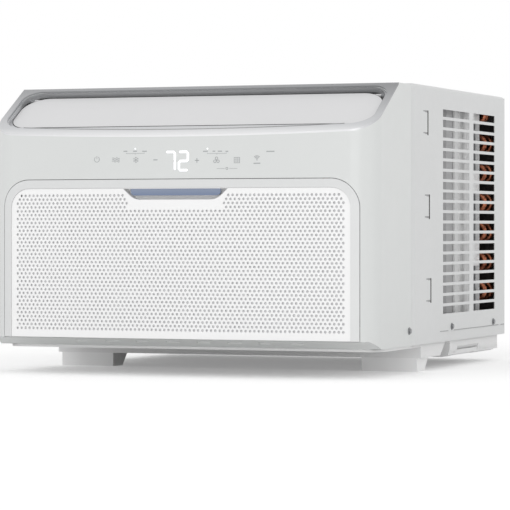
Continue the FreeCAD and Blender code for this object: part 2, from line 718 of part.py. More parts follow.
def makeCabinet():
    body = newBody("cabinet_shell")
    straightEndY = rearY - size.rearFoldLength
    seamY = cabinetFrontY - size.joggleLength * 0.78
    slipInset = size.bezelTopDrop + size.bezelWall + size.seat
    loftSheet(body, [
        (bezelBackY - size.flangeLength, slipInset), (seamY - 2, slipInset),
        (seamY, size.joggleInset), (cabinetFrontY, 0), (straightEndY, 0),
        (rearY - size.cabinetGauge, size.rearFoldInset),
    ])
    edge = cabinetHalf - size.rearFoldInset
    lip = edge - size.rearFlangeWidth
    high = topZ - size.rearFoldInset
    flange = [
        (-edge, floorZ), (-lip, floorZ), (-lip, high - size.rearFlangeWidth),
        (lip, high - size.rearFlangeWidth), (lip, floorZ), (edge, floorZ),
        (edge, high), (-edge, high),
    ]
    pad(body, "XZ", size.cabinetGauge - rearY, flange, size.cabinetGauge, reverse=True)
    first = topZ - size.louvreTop - size.louvreOpening
    frontStart = frontY + size.louvreFrontStart
    rearStart = frontStart + size.louvreFrontLength + size.louvrePost
    rearEnd = rearY - size.louvreRearMargin
    sketch = addSketch(body, "YZ")
    openings = Outlines([
        rectangle(frontStart, frontStart + size.louvreFrontLength, first, first + size.louvreOpening),
        rectangle(rearStart, rearEnd, first, first + size.louvreOpening),
    ])
    slot = cutSketch(body, sketch, openings, middle=True)
    span = size.louvrePitch * (size.louvreRows - 1)
    rows = repeat(body, slot, sketch, "V_Axis", span, size.louvreRows)
    rows.Reversed = True
    slots = Outlines(curtainOutline(number) for number in range(int(size.curtainSlots.value)))
    cut(body, "YZ", 0, slots, middle=True)
    loose = (size.screwShank + size.screwClearance) / 2
    holes = Outlines(Circle(y, z, loose) for y, z in screwPlaces())
    cut(body, "YZ", 0, holes, middle=True)
    railY = frontY + size.railSetback
    rail = Outlines()
    for number in range(int(size.railHoles.value)):
        x = size.railHolePitch * (number - (size.railHoles - 1) / 2)
        rail.append(Circle(x, railY, size.railHoleSize / 2))
    cut(body, "XY", topZ + 1, rail, size.cabinetBend)
    hem = rectangle(frontY + size.louvreFrontStart, rearY - size.rearFoldLength,
                    floorZ + size.hemRise, floorZ + size.hemRise + 1.2)
    cut(body, "YZ", cabinetHalf, hem, size.hemDepth)
    cut(body, "YZ", -cabinetHalf, hem, size.hemDepth, reverse=True)
    relief = rectangle(bezelBackY - size.flangeLength - 1, seamY, floorZ - 1, floorZ + size.panRim + 1)
    cut(body, "YZ", 0, relief, middle=True)
    keep(body, "cabinet_shell")


def makeScrews():
    """Hex screws with a round flange, three on each side."""
    hexagon = screwHexagon(size.screwHead.value * 0.36)
    pieces = []
    for side in (1, -1):
        for index, (y, z) in enumerate(screwPlaces()):
            skin = float(bezelHalf) if index == 0 else float(cabinetHalf)
            start = Vector(side * skin, float(y), float(z))
            out = Vector(side, 0, 0)
            shank = prism(size.screwShank.value / 2, size.screwLength.value, 8, start, -out)
            flange = prism(size.screwHead.value / 2, size.screwHeadHeight.value * 0.3, 16, start, out)
            head = Part.Face(Part.makePolygon([start + point for point in hexagon]))
            head = head.extrude(out * size.screwHeadHeight.value)
            pieces.append(shank.fuse([flange, head]).removeSplitter())
    solid("cabinet_screws", Part.makeCompound(pieces))


def screwHexagon(radius):
    corners = []
    for number in range(7):
        angle = math.radians(60 * number)
        corners.append(Vector(0, radius * math.cos(angle), radius * math.sin(angle)))
    return corners


# ---------------------------------------------------------------- base pan and feet

def panProfile(wall):
    """Side view of the pan's troughs; wall moves it inwards for the hollow."""
    start = frontY + size.panFrontSetback + wall
    midStart = frontY + size.panFrontSetback + size.panFrontLength + wall
    midFloorEnd = midStart - wall + size.panMidLength - wall * 0.5
    bridgeStart = midStart - wall + size.panMidLength + size.panMidRake - wall
    rearStart = midStart - wall + size.panMidLength + size.panMidRake + size.panBridge + wall
    rearEnd = rearY - size.panRearMargin - wall
    rimEnd = rearY - size.cabinetGauge - size.seat - wall
    rim = floorZ + size.panRim + (0 if wall is noWall else beyond)
    return [
        (start, rim), (start, floorZ - size.panFrontDrop + wall),
        (midStart, floorZ - size.panFrontDrop + wall), (midStart, floorZ - size.panDrop + wall),
        (midFloorEnd, floorZ - size.panDrop + wall), (bridgeStart, floorZ + wall),
        (rearStart, floorZ + wall), (rearStart, floorZ - size.panRearDrop + wall),
        (rearEnd, floorZ - size.panRearDrop + wall), (rearEnd, floorZ + wall),
        (rimEnd, floorZ + wall), (rimEnd, rim),
    ]


noWall = sized(0)


def makePan():
    body = newBody("base_pan")
    pad(body, "YZ", 0, panProfile(noWall), panHalf * 2, middle=True)
    frontEdge = float(frontY + size.panFrontSetback)
    lowest = float(floorZ - size.panRearDrop)
    soften(body, "Fillet", Vector(0, 0, 1),
           lambda at: at.y < frontEdge + 1, size.panFrontCorner)
    soften(body, "Fillet", Vector(0, 1, 0),
           lambda at: at.z < lowest + 0.5, size.panRearRound)
    rearEdge = float(rearY - size.panRearMargin)
    soften(body, "Fillet", Vector(0, 0, 1),
           lambda at: abs(at.y - rearEdge) < 0.5 and at.z < float(floorZ), size.panRearRound)
    hollow = (panHalf - size.panWall) * 2
    cut(body, "YZ", 0, panProfile(size.panWall), hollow, middle=True)
    facetStart = frontY + size.panFrontSetback + size.panFrontLength + size.panMidLength
    facetStart = facetStart + size.panMidRake + size.panBridge + size.panFacetStart
    low = floorZ - size.panRearDrop
    reach = size.panFacetSize
    wall = size.panWall
    for side in (1, -1):
        edge = panHalf * side
        inner = (panHalf - wall) * side
        gusset = [
            (inner, low + wall), (inner, low + reach + wall * 2),
            (inner - (reach + wall * 2) * side, low + wall),
        ]
        pad(body, "XZ", -facetStart, gusset, size.panFacetLength, reverse=True)
        press = [
            (edge + beyond * side, low - beyond), (edge + beyond * side, low + reach + beyond),
            (edge, low + reach), (edge - reach * side, low), (edge - reach * side, low - beyond),
        ]
        cut(body, "XZ", -(facetStart + wall), press, size.panFacetLength - wall * 2)
    troughStart = facetStart - size.panFacetStart
    leg = size.panRearRound * 0.5
    for side in (1, -1):
        inner = (panHalf - wall) * side
        filler = [(inner, low + wall), (inner, low + wall + leg), (inner - leg * side, low + wall)]
        pad(body, "XZ", -troughStart, filler, rearY - size.panRearMargin - troughStart, reverse=True)
    loose = (size.screwShank + size.screwClearance) / 2
    holes = Outlines(Circle(y, z, loose) for y, z in screwPlaces())
    cut(body, "YZ", 0, holes, middle=True)
    keep(body, "base_pan")


def makeFoot(label, side):
    """A hollow foot whose rear face leans back."""
    body = newBody(label)
    start = frontY + size.panFrontSetback + size.panFrontLength
    high = size.footHeight
    wall = size.footWall
    outer = [(start, 0), (start + size.footLength, 0),
             (start + size.footLength + size.footRake, high), (start, high)]
    inset = (panHalf - size.footInset - size.footWidth / 2) * side
    pad(body, "YZ", inset, outer, size.footWidth, middle=True)
    inner = [(start + wall, -beyond), (start + size.footLength - wall, -beyond),
             (start + size.footLength - wall, 0),
             (start + size.footLength + size.footRake - wall * 2, high - wall),
             (start + wall, high - wall)]
    cut(body, "YZ", inset, inner, size.footWidth - wall * 2, middle=True)
    keep(body, label)


# ---------------------------------------------------------------- bezel and trim

def makeBezel():
    body = newBody("front_bezel")
    wall = size.bezelWall
    pad(body, "XY", floorZ, frontOutline(noWall, bezelBackY), bezelTopZ - floorZ)
    cut(body, "XY", bezelTopZ - wall, frontOutline(wall, bezelBackY + 1))
    across = (bezelHalf - wall / 2) * 2
    lip = size.trimLip
    roof = [
        (frontY, slopeZ(frontY, lip)), (slopeRearY, slopeZ(slopeRearY, lip)),
        (slopeRearY, bezelTopZ), (slopeRearY + wall, bezelTopZ),
        (slopeRearY + wall, slopeZ(slopeRearY + wall, lip + wall)),
        (frontY, slopeZ(frontY, lip + wall)),
    ]
    pad(body, "YZ", 0, roof, across, middle=True)
    start = frontY + size.undercutStart
    end = start + size.undercutLength
    rise = floorZ + size.lowerRise
    thick = wall * size.undercutLength / size.lowerRise
    sill = [
        (frontY, rise), (start, rise), (end, floorZ), (end + thick, floorZ),
        (start + thick * 0.1, rise + wall), (frontY, rise + wall),
    ]
    pad(body, "YZ", 0, sill, across, middle=True)
    front = frontY - beyond
    above = [
        (front, slopeZ(front, lip)), (slopeRearY, slopeZ(slopeRearY, lip)),
        (slopeRearY, bezelTopZ + beyond), (front, bezelTopZ + beyond),
    ]
    cut(body, "YZ", 0, above, middle=True)
    below = [
        (front, floorZ - beyond), (end, floorZ - beyond), (end, floorZ), (start, rise), (front, rise),
    ]
    cut(body, "YZ", 0, below, middle=True)
    cutInFront(body, noWall)
    tray = size.trimWall + size.seat
    well = roundedRectangle(
        -(trimHalf + tray), trimHalf + tray, size.trimFront - tray, trimRearEdge + tray,
        size.trimFrontCorner + size.trimWall, size.trimRearCorner + size.trimWall)
    cutSketch(body, addSlopeSketch(body), well, lip + wall + 3)
    gap = size.doorGap
    opening = roundedRectangle(
        -(doorHalf + gap), doorHalf + gap, doorLowZ - gap * 2, doorHighZ + gap,
        sized(1), size.doorCorner + gap)
    cut(body, "XZ", -front, opening, beyond + size.doorOpeningDepth)
    slotY = start + size.undercutLength * 0.3
    firstX = size.drainSlotOffset - size.drainSlotPitch * (size.drainSlots - 1) / 2
    half = size.drainSlotLength / 2
    sketch = addSketch(body, "XY", floorZ)
    slot = cutSketch(body, sketch, rectangle(firstX - half, firstX + half, slotY,
                                             slotY + size.drainSlotWidth),
                     size.lowerRise * 2, reverse=True)
    repeat(body, slot, sketch, "H_Axis", size.drainSlotPitch * (size.drainSlots - 1), size.drainSlots)
    reach = size.doorPin / 2 + 3
    for side in (1, -1):
        inner = (doorHalf + gap + 1.2) * side
        ear = [(doorAxisY - reach, floorZ + size.lowerRise - 0.5), (doorAxisY + reach, floorZ + size.lowerRise - 2),
               (doorAxisY + reach, doorAxisZ + reach), (doorAxisY - reach, doorAxisZ + reach)]
        pad(body, "YZ", inner, ear, size.doorEar, reverse=side < 0)
        hole = Circle(doorAxisY, doorAxisZ, (size.doorPin + size.pinClearance) / 2)
        cut(body, "YZ", inner, Outlines([hole]), size.doorEar, reverse=side > 0)
    screw = Circle(screwPlaces()[0][0], screwPlaces()[0][1], (size.screwShank + size.screwClearance) / 2)
    cut(body, "YZ", 0, Outlines([screw]), middle=True)
    keep(body, "front_bezel")


trimRearEdge = slopeLength - size.trimRear


def trimOpening(step):
    """The trim's inner outline on the slope: bowed at the front, wider by a step elsewhere."""
    half = trimHalf + step
    frontCorner = size.trimFrontCorner
    rearCorner = size.trimRearCorner
    low = size.trimFront + size.trimFrontBow
    high = trimRearEdge + step
    chord = trimHalf - frontCorner
    radius = (chord * chord + size.trimFrontBow * size.trimFrontBow) / (size.trimFrontBow * 2)
    corners = [
        (-chord, low), (chord, low), (half, low + frontCorner + step),
        (half, high - rearCorner), (half - rearCorner, high),
        (-half + rearCorner, high), (-half, high - rearCorner), (-half, low + frontCorner + step),
    ]
    corner = frontCorner + step
    arcs = {0: (radius, 1), 1: (corner, 1), 3: (rearCorner, 1), 5: (rearCorner, 1), 7: (corner, 1)}
    return corners, arcs


def makeTrim():
    """Satin ring on the slope with a sunken tray that frames the flap."""
    body = newBody("outlet_trim")
    pad(body, "XY", floorZ, frontOutline(noWall, slopeRearY), bezelTopZ - floorZ)
    front = frontY - beyond
    above = [
        (front, slopeZ(front)), (slopeRearY + beyond, slopeZ(slopeRearY + beyond)),
        (slopeRearY + beyond, topZ + beyond * 2), (front, topZ + beyond * 2),
    ]
    cut(body, "YZ", 0, above, middle=True)
    below = [
        (front, floorZ - beyond), (slopeRearY + beyond, floorZ - beyond),
        (slopeRearY + beyond, slopeZ(slopeRearY + beyond, size.trimLip)),
        (front, slopeZ(front, size.trimLip)),
    ]
    cut(body, "YZ", 0, below, middle=True)
    wall = size.trimWall
    depth = size.flapRecess + size.seat + size.trimFloor
    sketch = addSlopeSketch(body)
    addOutline(sketch, *roundedRectangle(
        -(trimHalf + wall), trimHalf + wall, size.trimFront - wall, trimRearEdge + wall,
        size.trimFrontCorner + wall, size.trimRearCorner + wall))
    addFeature(body, "Pad", sketch, depth, reverse=True)
    cutSketch(body, addSlopeSketch(body), trimOpening(noWall), size.flapRecess + size.seat)
    cutSketch(body, addSlopeSketch(body), trimOpening(size.trimStep), size.trimStep)
    gap = size.flapGap
    window = roundedRectangle(
        -trimHalf, trimHalf, size.flapFront - gap, trimRearEdge,
        size.flapFrontCorner + gap, size.trimRearCorner)
    cutSketch(body, addSlopeSketch(body), window, depth + 1)
    for side in (1, -1):
        bearing = flapBearing * side
        pad(body, "YZ", bearing, bossOutline(), size.flapBearingWidth, reverse=side < 0)
        hole = Circle(flapAxisY, flapAxisZ, (size.flapPin + size.pinClearance) / 2)
        length = flapBearing + size.flapBearingWidth - flapPinStart
        cut(body, "YZ", flapPinStart * side, Outlines([hole]), length, reverse=side > 0)
    keep(body, "outlet_trim")


flapAxisY = frontY + flapAxisUp * cosSlope + flapAxisDrop * sinSlope
flapAxisZ = slopeFrontZ + flapAxisUp * sinSlope - flapAxisDrop * cosSlope


def bossOutline():
    """Bearing of a flap pin, hung below the rear corner of the trim's tray."""
    reach = size.flapPin / 2 + 3.5
    floor = size.flapRecess + size.seat
    outline = []
    for up, drop in ((-reach, floor), (-reach, flapAxisDrop + reach),
                     (reach, flapAxisDrop + reach), (reach, floor)):
        along = flapAxisUp + up
        outline.append((frontY + along * cosSlope + drop * sinSlope,
                        slopeFrontZ + along * sinSlope - drop * cosSlope))
    return outline


def makeFlap():
    body = newBody("outlet_flap")
    turned = addSlopeSketch(body)
    addOutline(turned, *roundedRectangle(
        -flapHalf, flapHalf, size.flapFront, flapRear,
        size.flapFrontCorner, size.flapRearCorner))
    sheetPad = addFeature(body, "Pad", turned, size.flapRecess + size.flapThickness, reverse=True)
    sheetPad.setExpression("Length", (size.flapRecess + size.flapThickness).text)
    cutSketch(body, addSlopeSketch(body), rectangle(
        -flapHalf - 1, flapHalf + 1, size.flapFront - 1, flapRear + 1), size.flapRecess)
    for side in (1, -1):
        sketch = addSketch(body, "YZ", flapPinStart * side)
        addCircle(sketch, flapAxisY, flapAxisZ, size.flapPin / 2)
        length = flapBearing + size.flapBearingWidth - flapPinStart
        addFeature(body, "Pad", sketch, length, reverse=side < 0)
    keep(body, "outlet_flap")


def makeFlapMotor():
    """Small stepper with an offset shaft, on the outer face of the right bearing."""
    start = slopePoint(flapBearing + size.flapBearingWidth, flapAxisUp,
                       flapAxisDrop + size.motorSize / 2)
    out = Vector(1, 0, 0)
    can = prism(size.motorSize.value / 2, size.motorLength.value, 16, start, out)
    reach = size.motorSize.value * 0.85
    plate = Part.makeBox(1, reach * 2, 4, start + Vector(0, -reach, -2))
    solid("flap_motor", can.fuse(plate).removeSplitter())


# ---------------------------------------------------------------- intake grille

def doorOutline(inset, lowInset=0):
    """The grille's outline seen from the front, moved inwards."""
    half = doorHalf - inset
    high = doorHighZ - inset
    corner = size.doorCorner - inset
    low = doorLowZ + lowInset
    corners = [(-half, low), (half, low), (half, high - corner), (half - corner, high),
               (-half + corner, high), (-half, high - corner)]
    return corners, {2: (corner, 1), 4: (corner, 1)}


def makeGrilleFrame():
    """Bowed frame of the grille, with a lower bar and pivot lugs."""
    body = newBody("grille_frame")
    pad(body, "XZ", -frontY, doorOutline(0), size.doorDepth, reverse=True)
    cut(body, "XZ", -(frontY - beyond), doorOutline(size.doorFrame, -beyond), size.doorDepth + beyond * 2)
    bar = rectangle(-doorHalf + 1, doorHalf - 1, doorLowZ, doorLowZ + size.doorFrame)
    barStart = cornerY + size.panelRecess + size.panelThickness + size.seat
    pad(body, "XZ", -barStart, bar, frontY + size.doorDepth - barStart, reverse=True)
    cutInFront(body, noWall)
    reach = size.doorPin / 2 + 1.4
    back = frontY + size.doorDepth
    for side in (1, -1):
        outer = (doorHalf - size.doorFrame * 0.3) * side
        lug = [(back - 1, doorAxisZ - reach), (doorAxisY, doorAxisZ - reach),
               (doorAxisY + reach, doorAxisZ), (doorAxisY, doorAxisZ + reach),
               (back - 1, doorAxisZ + reach * 1.5)]
        pad(body, "YZ", outer, lug, size.doorFrame * 0.5, reverse=side > 0)
        sketch = addSketch(body, "YZ", outer)
        addCircle(sketch, doorAxisY, doorAxisZ, size.doorPin / 2)
        length = size.doorFrame * 0.3 + size.doorGap + 1.2 + size.doorEar
        addFeature(body, "Pad", sketch, length, reverse=side < 0)
    keep(body, "grille_frame")


def pocketOutline(grow):
    """Finger pocket: wide at the top, with sloping ends."""
    high = doorHighZ - size.doorFrame - size.panelGap - 0.6
    low = high - size.pocketHeight
    return [
        (-size.pocketBottom - grow, low - grow), (size.pocketBottom + grow, low - grow),
        (size.pocketTop + grow, high), (-size.pocketTop - grow, high),
    ]


def makeGrillePanel():
    """Bowed front panel of the grille with the finger pocket behind it."""
    body = newBody("grille_panel")
    inset = size.doorFrame + size.panelGap
    pad(body, "XZ", -frontY, doorOutline(inset, size.panelGap), size.pocketDepth, reverse=True)
    wall = size.panelThickness
    frontInset = size.panelRecess
    backInset = frontInset + wall
    cutInFront(body, frontInset)
    half = doorHalf - inset
    low = doorLowZ - beyond
    cupLow = doorHighZ - size.doorFrame - size.panelGap - 0.6 - size.pocketHeight - wall
    behind = addSketch(body, "XY", cupLow)
    cutSketch(body, behind, frontOutline(backInset, frontY + size.pocketDepth + beyond))
    behind = addSketch(body, "XY", topZ)
    sideCuts = Outlines([
        rectangle(size.pocketTop + wall, half + 1, cornerY + 1, frontY + size.pocketDepth + 1),
        rectangle(-half - 1, -size.pocketTop - wall, cornerY + 1, frontY + size.pocketDepth + 1),
    ])
    cutSketch(body, behind, sideCuts)
    pocketFront = frontY - 1
    cut(body, "XZ", -pocketFront, pocketOutline(0), size.pocketDepth + 1 - wall)
    keep(body, "grille_panel")


def makeLens():
    """Status lens that hangs in the upper part of the pocket."""
    body = newBody("status_lens")
    high = doorHighZ - size.doorFrame - size.panelGap - 0.6
    low = high - size.lensHeight
    half = size.lensHalf
    round_ = size.lensHeight * 0.6
    corners = [(-half + round_, low), (half - round_, low), (half, low + round_), (half, high),
               (-half, high), (-half, low + round_)]
    start = frontY + size.lensSetback
    pad(body, "XZ", -start, (corners, {1: (round_, 1), 5: (round_, 1)}), size.lensThickness, reverse=True)
    keep(body, "status_lens")


def makeFilter():
    """Slide-out filter: a frame with cross bars, and its net."""
    body = newBody("filter_frame")
    start = frontY + size.doorDepth + size.seat
    low = doorLowZ + size.doorFrame * 0.4
    high = low + size.filterHeight
    half = filterHalf
    border = size.filterBorder
    pad(body, "XZ", -start, rectangle(-half, half, low, high), size.filterThickness, reverse=True)
    bays = Outlines()
    bay = (half * 2 - border) / 4
    middle = (low + high) / 2
    for column in range(4):
        left = -half + bay * column + border
        bays.append(rectangle(left, left + bay - border, low + border, middle - border / 2))
        bays.append(rectangle(left, left + bay - border, middle + border / 2, high - border))
    cut(body, "XZ", -start, bays)
    keep(body, "filter_frame")
    net = newBody("filter_net")
    pad(net, "XZ", -(start + size.filterThickness), rectangle(-half + 2, half - 2, low + 2, high - 2),
        size.filterThickness * 0.2, reverse=True)
    keep(net, "filter_net")


# ---------------------------------------------------------------- outlet duct and vanes

def ductSection(left, right, startPoint, endPoint, wall):
    """Corners of a rectangle across the duct between its front and rear walls."""
    along = (endPoint - startPoint).normalize() * wall
    first = startPoint + along
    last = endPoint - along
    return [Vector(left + wall, first.y, first.z), Vector(right - wall, first.y, first.z),
            Vector(right - wall, last.y, last.z), Vector(left + wall, last.y, last.z)]


def throatSides():
    """Outer sides of the blower's throat."""
    first = (size.wheelRadius + size.voluteGap + size.housingWall).value
    return size.fanAxisX.value - first, size.fanAxisX.value + first + size.volutePitch.value


def makeDuct():
    """Duct from the blower's throat to the sloping outlet, with the vanes' bearing holes."""
    drop = size.ductMouthDrop
    mouthStart = slopePoint(0, size.flapFront - 3, drop)
    mouthEnd = slopePoint(0, size.ductRear, drop)
    throatZ = float(floorZ + size.throatHeight)
    throatBack = float(bulkheadY) - size.seat.value
    throatStart = Vector(0, throatBack - size.housingDepth.value, throatZ)
    throatEnd = Vector(0, throatBack, throatZ)
    half = ductHalf.value
    left, right = throatSides()
    shells = []
    for inset in (0, size.ductWall.value):
        mouth = ductSection(-half, half, mouthStart, mouthEnd, inset)
        throat = ductSection(left, right, throatStart, throatEnd, inset)
        shells.append(ductBlock(throat, mouth))
    duct = shells[0].cut(shells[1])
    loose = (size.vanePin + size.pinClearance).value / 2 / math.cos(math.pi / 12)
    along = slopePoint(0, 1, 0) - slopePoint(0, 0, 0)
    for x in vanePlaces():
        start = slopePoint(x, size.flapFront - 10, size.vaneAxisDrop)
        duct = duct.cut(prism(loose, size.flapChord.value + 40, 12, start, along))
    solid("outlet_duct", duct)


def ductBlock(throat, mouth):
    """Block between two rectangles; its leaning sides are folded along a diagonal."""
    return polyhedron([
        throat, mouth, [throat[0], throat[1], mouth[1], mouth[0]], [throat[3], throat[2], mouth[2], mouth[3]],
        [throat[1], throat[2], mouth[1]], [throat[2], mouth[2], mouth[1]],
        [throat[0], throat[3], mouth[0]], [throat[3], mouth[3], mouth[0]],
    ])


def vanePlaces():
    count = int(size.vanes.value)
    return [size.vanePitch.value * (number - (count - 1) / 2) for number in range(count)]


def vaneEdges():
    """Front and rear edges of a vane up the slope, at its upper and lower ends."""
    front = float(size.flapFront) + 6
    rear = float(size.ductRear) - 9
    return (front, rear), (front + 21, rear + 8)


def makeVanes():
    """Upright vanes that swing about pins in the duct's front and rear walls."""
    (topFront, topRear), (lowFront, lowRear) = vaneEdges()
    top = size.vaneTopDrop.value
    low = size.vaneBottomDrop.value
    thick = size.vaneThickness.value
    axis = size.vaneAxisDrop.value
    part = (axis - top) / (low - top)
    axisFront = topFront + (lowFront - topFront) * part
    axisRear = topRear + (lowRear - topRear) * part
    linkPart = (size.linkDrop.value - top) / (low - top)
    linkStart = topRear + (lowRear - topRear) * linkPart
    along = slopePoint(0, 1, 0) - slopePoint(0, 0, 0)
    for number, x in enumerate(vanePlaces(), start=1):
        left = x - thick / 2
        outline = [slopePoint(left, topFront, top), slopePoint(left, topRear, top),
                   slopePoint(left, lowRear, low), slopePoint(left, lowFront, low)]
        blade = Part.Face(Part.makePolygon(outline + outline[:1])).extrude(Vector(thick, 0, 0))
        radius = size.vanePin.value / 2
        front = prism(radius, 9, 8, slopePoint(x, axisFront - 7, axis), along)
        rear = prism(radius, 11, 8, slopePoint(x, axisRear - 2, axis), along)
        crank = prism(1, 7, 6, slopePoint(x, linkStart - 1, size.linkDrop), along)
        solid(f"air_vane_{number}", blade.fuse([front, rear, crank]))


def makeVaneLink():
    """Bar that swings the vanes together; its slots leave the cranks room to rise."""
    (topFront, topRear), (lowFront, lowRear) = vaneEdges()
    top = size.vaneTopDrop.value
    part = (size.linkDrop.value - top) / (size.vaneBottomDrop.value - top)
    start = topRear + (lowRear - topRear) * part + 2.5
    places = vanePlaces()
    reach = size.vanePitch.value / 5
    drop = size.linkDrop.value
    low = slopePoint(places[0] - reach, start, drop + 4)
    outline = [low, slopePoint(places[-1] + reach, start, drop + 4),
               slopePoint(places[-1] + reach, start, drop - 5),
               slopePoint(places[0] - reach, start, drop - 5), low]
    along = slopePoint(0, 1, 0) - slopePoint(0, 0, 0)
    bar = Part.Face(Part.makePolygon(outline)).extrude(along * 2)
    for x in places:
        corners = [slopePoint(x - 1.3, start - 1, drop + 1.3), slopePoint(x + 1.3, start - 1, drop + 1.3),
                   slopePoint(x + 1.3, start - 1, drop - 2.6), slopePoint(x - 1.3, start - 1, drop - 2.6)]
        slot = Part.Face(Part.makePolygon(corners + corners[:1])).extrude(along * 4)
        bar = bar.cut(slot)
    solid("vane_link", bar)


# ---------------------------------------------------------------- blower

def voluteWire(extra):
    """Four-centre volute that opens upwards, widened by a wall."""
    axisX = size.fanAxisX.value
    axisZ = float(fanAxisZ)
    growth = size.volutePitch.value
    radius = size.wheelRadius.value + size.voluteGap.value + extra
    top = float(floorZ + size.throatHeight)
    centre = Vector(axisX, 0, axisZ)
    corners = [centre + Vector(-radius, 0, 0)]
    steps = 6
    for quarter in range(2):
        for step in range(1, steps + 1):
            turn = math.radians(180 + 90 * (quarter + step / steps))
            corners.append(centre + Vector(math.cos(turn), 0, math.sin(turn)) * radius)
        centre = centre - Vector(math.cos(turn), 0, math.sin(turn)) * growth
        radius += growth
    corners += [Vector(corners[-1].x, 0, top), Vector(corners[0].x, 0, top)]
    return Part.makePolygon(corners + corners[:1])


def makeHousing():
    """Volute housing open at the top, with a bell-mouthed inlet in front."""
    wall = size.housingWall.value
    depth = size.housingDepth.value
    back = float(bulkheadY) - size.seat.value
    outer = Part.Face(voluteWire(wall))
    outer.translate(Vector(0, back - depth, 0))
    inner = Part.Face(voluteWire(0))
    inner.translate(Vector(0, back - depth + wall, 0))
    housing = outer.extrude(Vector(0, depth, 0)).cut(inner.extrude(Vector(0, depth - wall * 2, 0)))
    axisX = size.fanAxisX.value
    axisZ = float(fanAxisZ)
    radius = size.inletRadius.value
    along = Vector(0, 1, 0)
    bellLength = 9
    mouth = prism(radius, wall * 4, 28, Vector(axisX, back - depth - wall, axisZ), along)
    bellStart = Vector(axisX, back - depth - bellLength, axisZ)
    bell = frustum(radius + 10, radius + 2, bellLength, 28, bellStart, along)
    bellCut = frustum(radius + 8, radius, bellLength, 28, bellStart, along)
    bearing = prism(size.shaftSize.value, wall * 4, 16, Vector(axisX, back - wall * 2, axisZ), along)
    housing = housing.cut(mouth).fuse(bell.cut(bellCut)).cut(bearing)
    solid("blower_housing", housing.removeSplitter())


def makeWheel():
    """Forward-curved centrifugal wheel: back plate with a hub, blades and a front ring."""
    back = float(bulkheadY) - size.seat.value - size.housingWall.value - 6
    width = size.wheelWidth.value
    outer = size.wheelRadius.value
    inner = size.wheelInner.value
    axisX = size.fanAxisX.value
    axisZ = float(fanAxisZ)
    along = Vector(0, 1, 0)
    bore = (size.shaftSize).value / 2
    plate = prism(outer, 2, 28, Vector(axisX, back - 2, axisZ), along)
    hub = prism(size.shaftSize.value * 1.3, 24, 16, Vector(axisX, back - 24, axisZ), along)
    ring = prism(outer, 4, 28, Vector(axisX, back - width, axisZ), along)
    ring = ring.cut(prism(inner, 6, 28, Vector(axisX, back - width - 1, axisZ), along))
    count = int(size.wheelBlades.value)
    blades = []
    rise = outer - inner
    for number in range(count):
        turn = 2 * math.pi * number / count
        points = []
        for share, lean in ((0.02, 0), (0.98, 0.7)):
            radius = inner + rise * share
            angle = turn + lean * rise / outer
            points.append((radius, angle))
        points += [(radius, angle + 1.3 / radius) for radius, angle in reversed(points)]
        corners = [Vector(axisX + radius * math.cos(angle), back - width + 2, axisZ + radius * math.sin(angle))
                   for radius, angle in points]
        blades.append(Part.Face(Part.makePolygon(corners + corners[:1])).extrude(along * (width - 3)))
    wheel = plate.fuse([hub, ring] + blades)
    wheel = wheel.cut(Part.makeCylinder(bore, 60, Vector(axisX, back - 40, axisZ), along))
    solid("blower_wheel", wheel)


# ---------------------------------------------------------------- fan, motor and bulkhead

def makeBulkhead():
    body = newBody("bulkhead")
    low = floorZ - size.panDrop + size.panWall + size.seat
    half = panHalf - size.panWall - size.seat
    high = topZ - size.cabinetGauge - size.seat
    pad(body, "XZ", -bulkheadY, rectangle(-half, half, low, high), size.bulkheadGauge, reverse=True)
    holes = Outlines([
        Circle(size.fanAxisX, fanAxisZ, size.shaftSize * 1.4),
        Circle(compressorX, suctionZ, size.pipeSize * 0.8),
        Circle(compressorX + size.pipeSize * 2.5, suctionZ, size.capillarySize),
    ])
    cut(body, "XZ", -bulkheadY, holes)
    fold = rectangle(-half, half, high - size.bulkheadGauge, high)
    pad(body, "XZ", -(bulkheadY + size.bulkheadGauge), fold, 12, reverse=True)
    keep(body, "bulkhead")


suctionZ = floorZ + size.throatHeight - 20


def makeMotor():
    """Motor can with end bells, held by a bracket on the bulkhead."""
    start = float(bulkheadY + size.bulkheadGauge + size.motorGap)
    length = size.motorBodyLength.value
    radius = size.motorBodyRadius.value
    axisX = size.fanAxisX.value
    axisZ = float(fanAxisZ)
    bore = (size.shaftSize + size.shaftClearance).value / 2
    along = Vector(0, 1, 0)
    can = None
    for share, back in ((0.4, 0), (0.86, 6), (1, 14)):
        stage = prism(radius * share, length - back * 2, 24, Vector(axisX, start + back, axisZ), along)
        can = can.fuse(stage) if can else stage
    can = can.cut(Part.makeCylinder(bore, length * 2, Vector(axisX, start - length / 2, axisZ), along))
    solid("fan_motor", can.removeSplitter())
    ringOuter = radius + 4
    ring = prism(ringOuter, 14, 24, Vector(axisX, start + 26, axisZ), along)
    ring = ring.cut(prism(radius + 0.2, 16, 24, Vector(axisX, start + 25, axisZ), along))
    plateY = float(bulkheadY + size.bulkheadGauge)
    for turn in (45, 135, 225, 315):
        angle = math.radians(turn)
        spot = Vector(axisX + ringOuter * math.cos(angle) * 0.97, plateY, axisZ + ringOuter * math.sin(angle) * 0.97)
        leg = Part.makeBox(14, start + 40 - plateY, 3, Vector(-7, 0, 0))
        leg.rotate(Vector(0, 0, 0), Vector(0, 1, 0), 90 - turn)
        leg.translate(spot)
        ring = ring.fuse(leg)
    solid("motor_bracket", ring)


def makeShaft():
    """Motor shaft that carries the wheel in front and the fan behind."""
    front = float(bulkheadY) - size.seat.value - size.housingWall.value - 6 - 34
    end = float(fanY) + size.fanDepth.value + 6
    body = newBody("motor_shaft")
    sketch = addSketch(body, "XZ", -sized(round(front, 3)))
    addCircle(sketch, size.fanAxisX, fanAxisZ, size.shaftSize / 2)
    addFeature(body, "Pad", sketch, sized(round(end - front, 3)), reverse=True)
    keep(body, "motor_shaft")


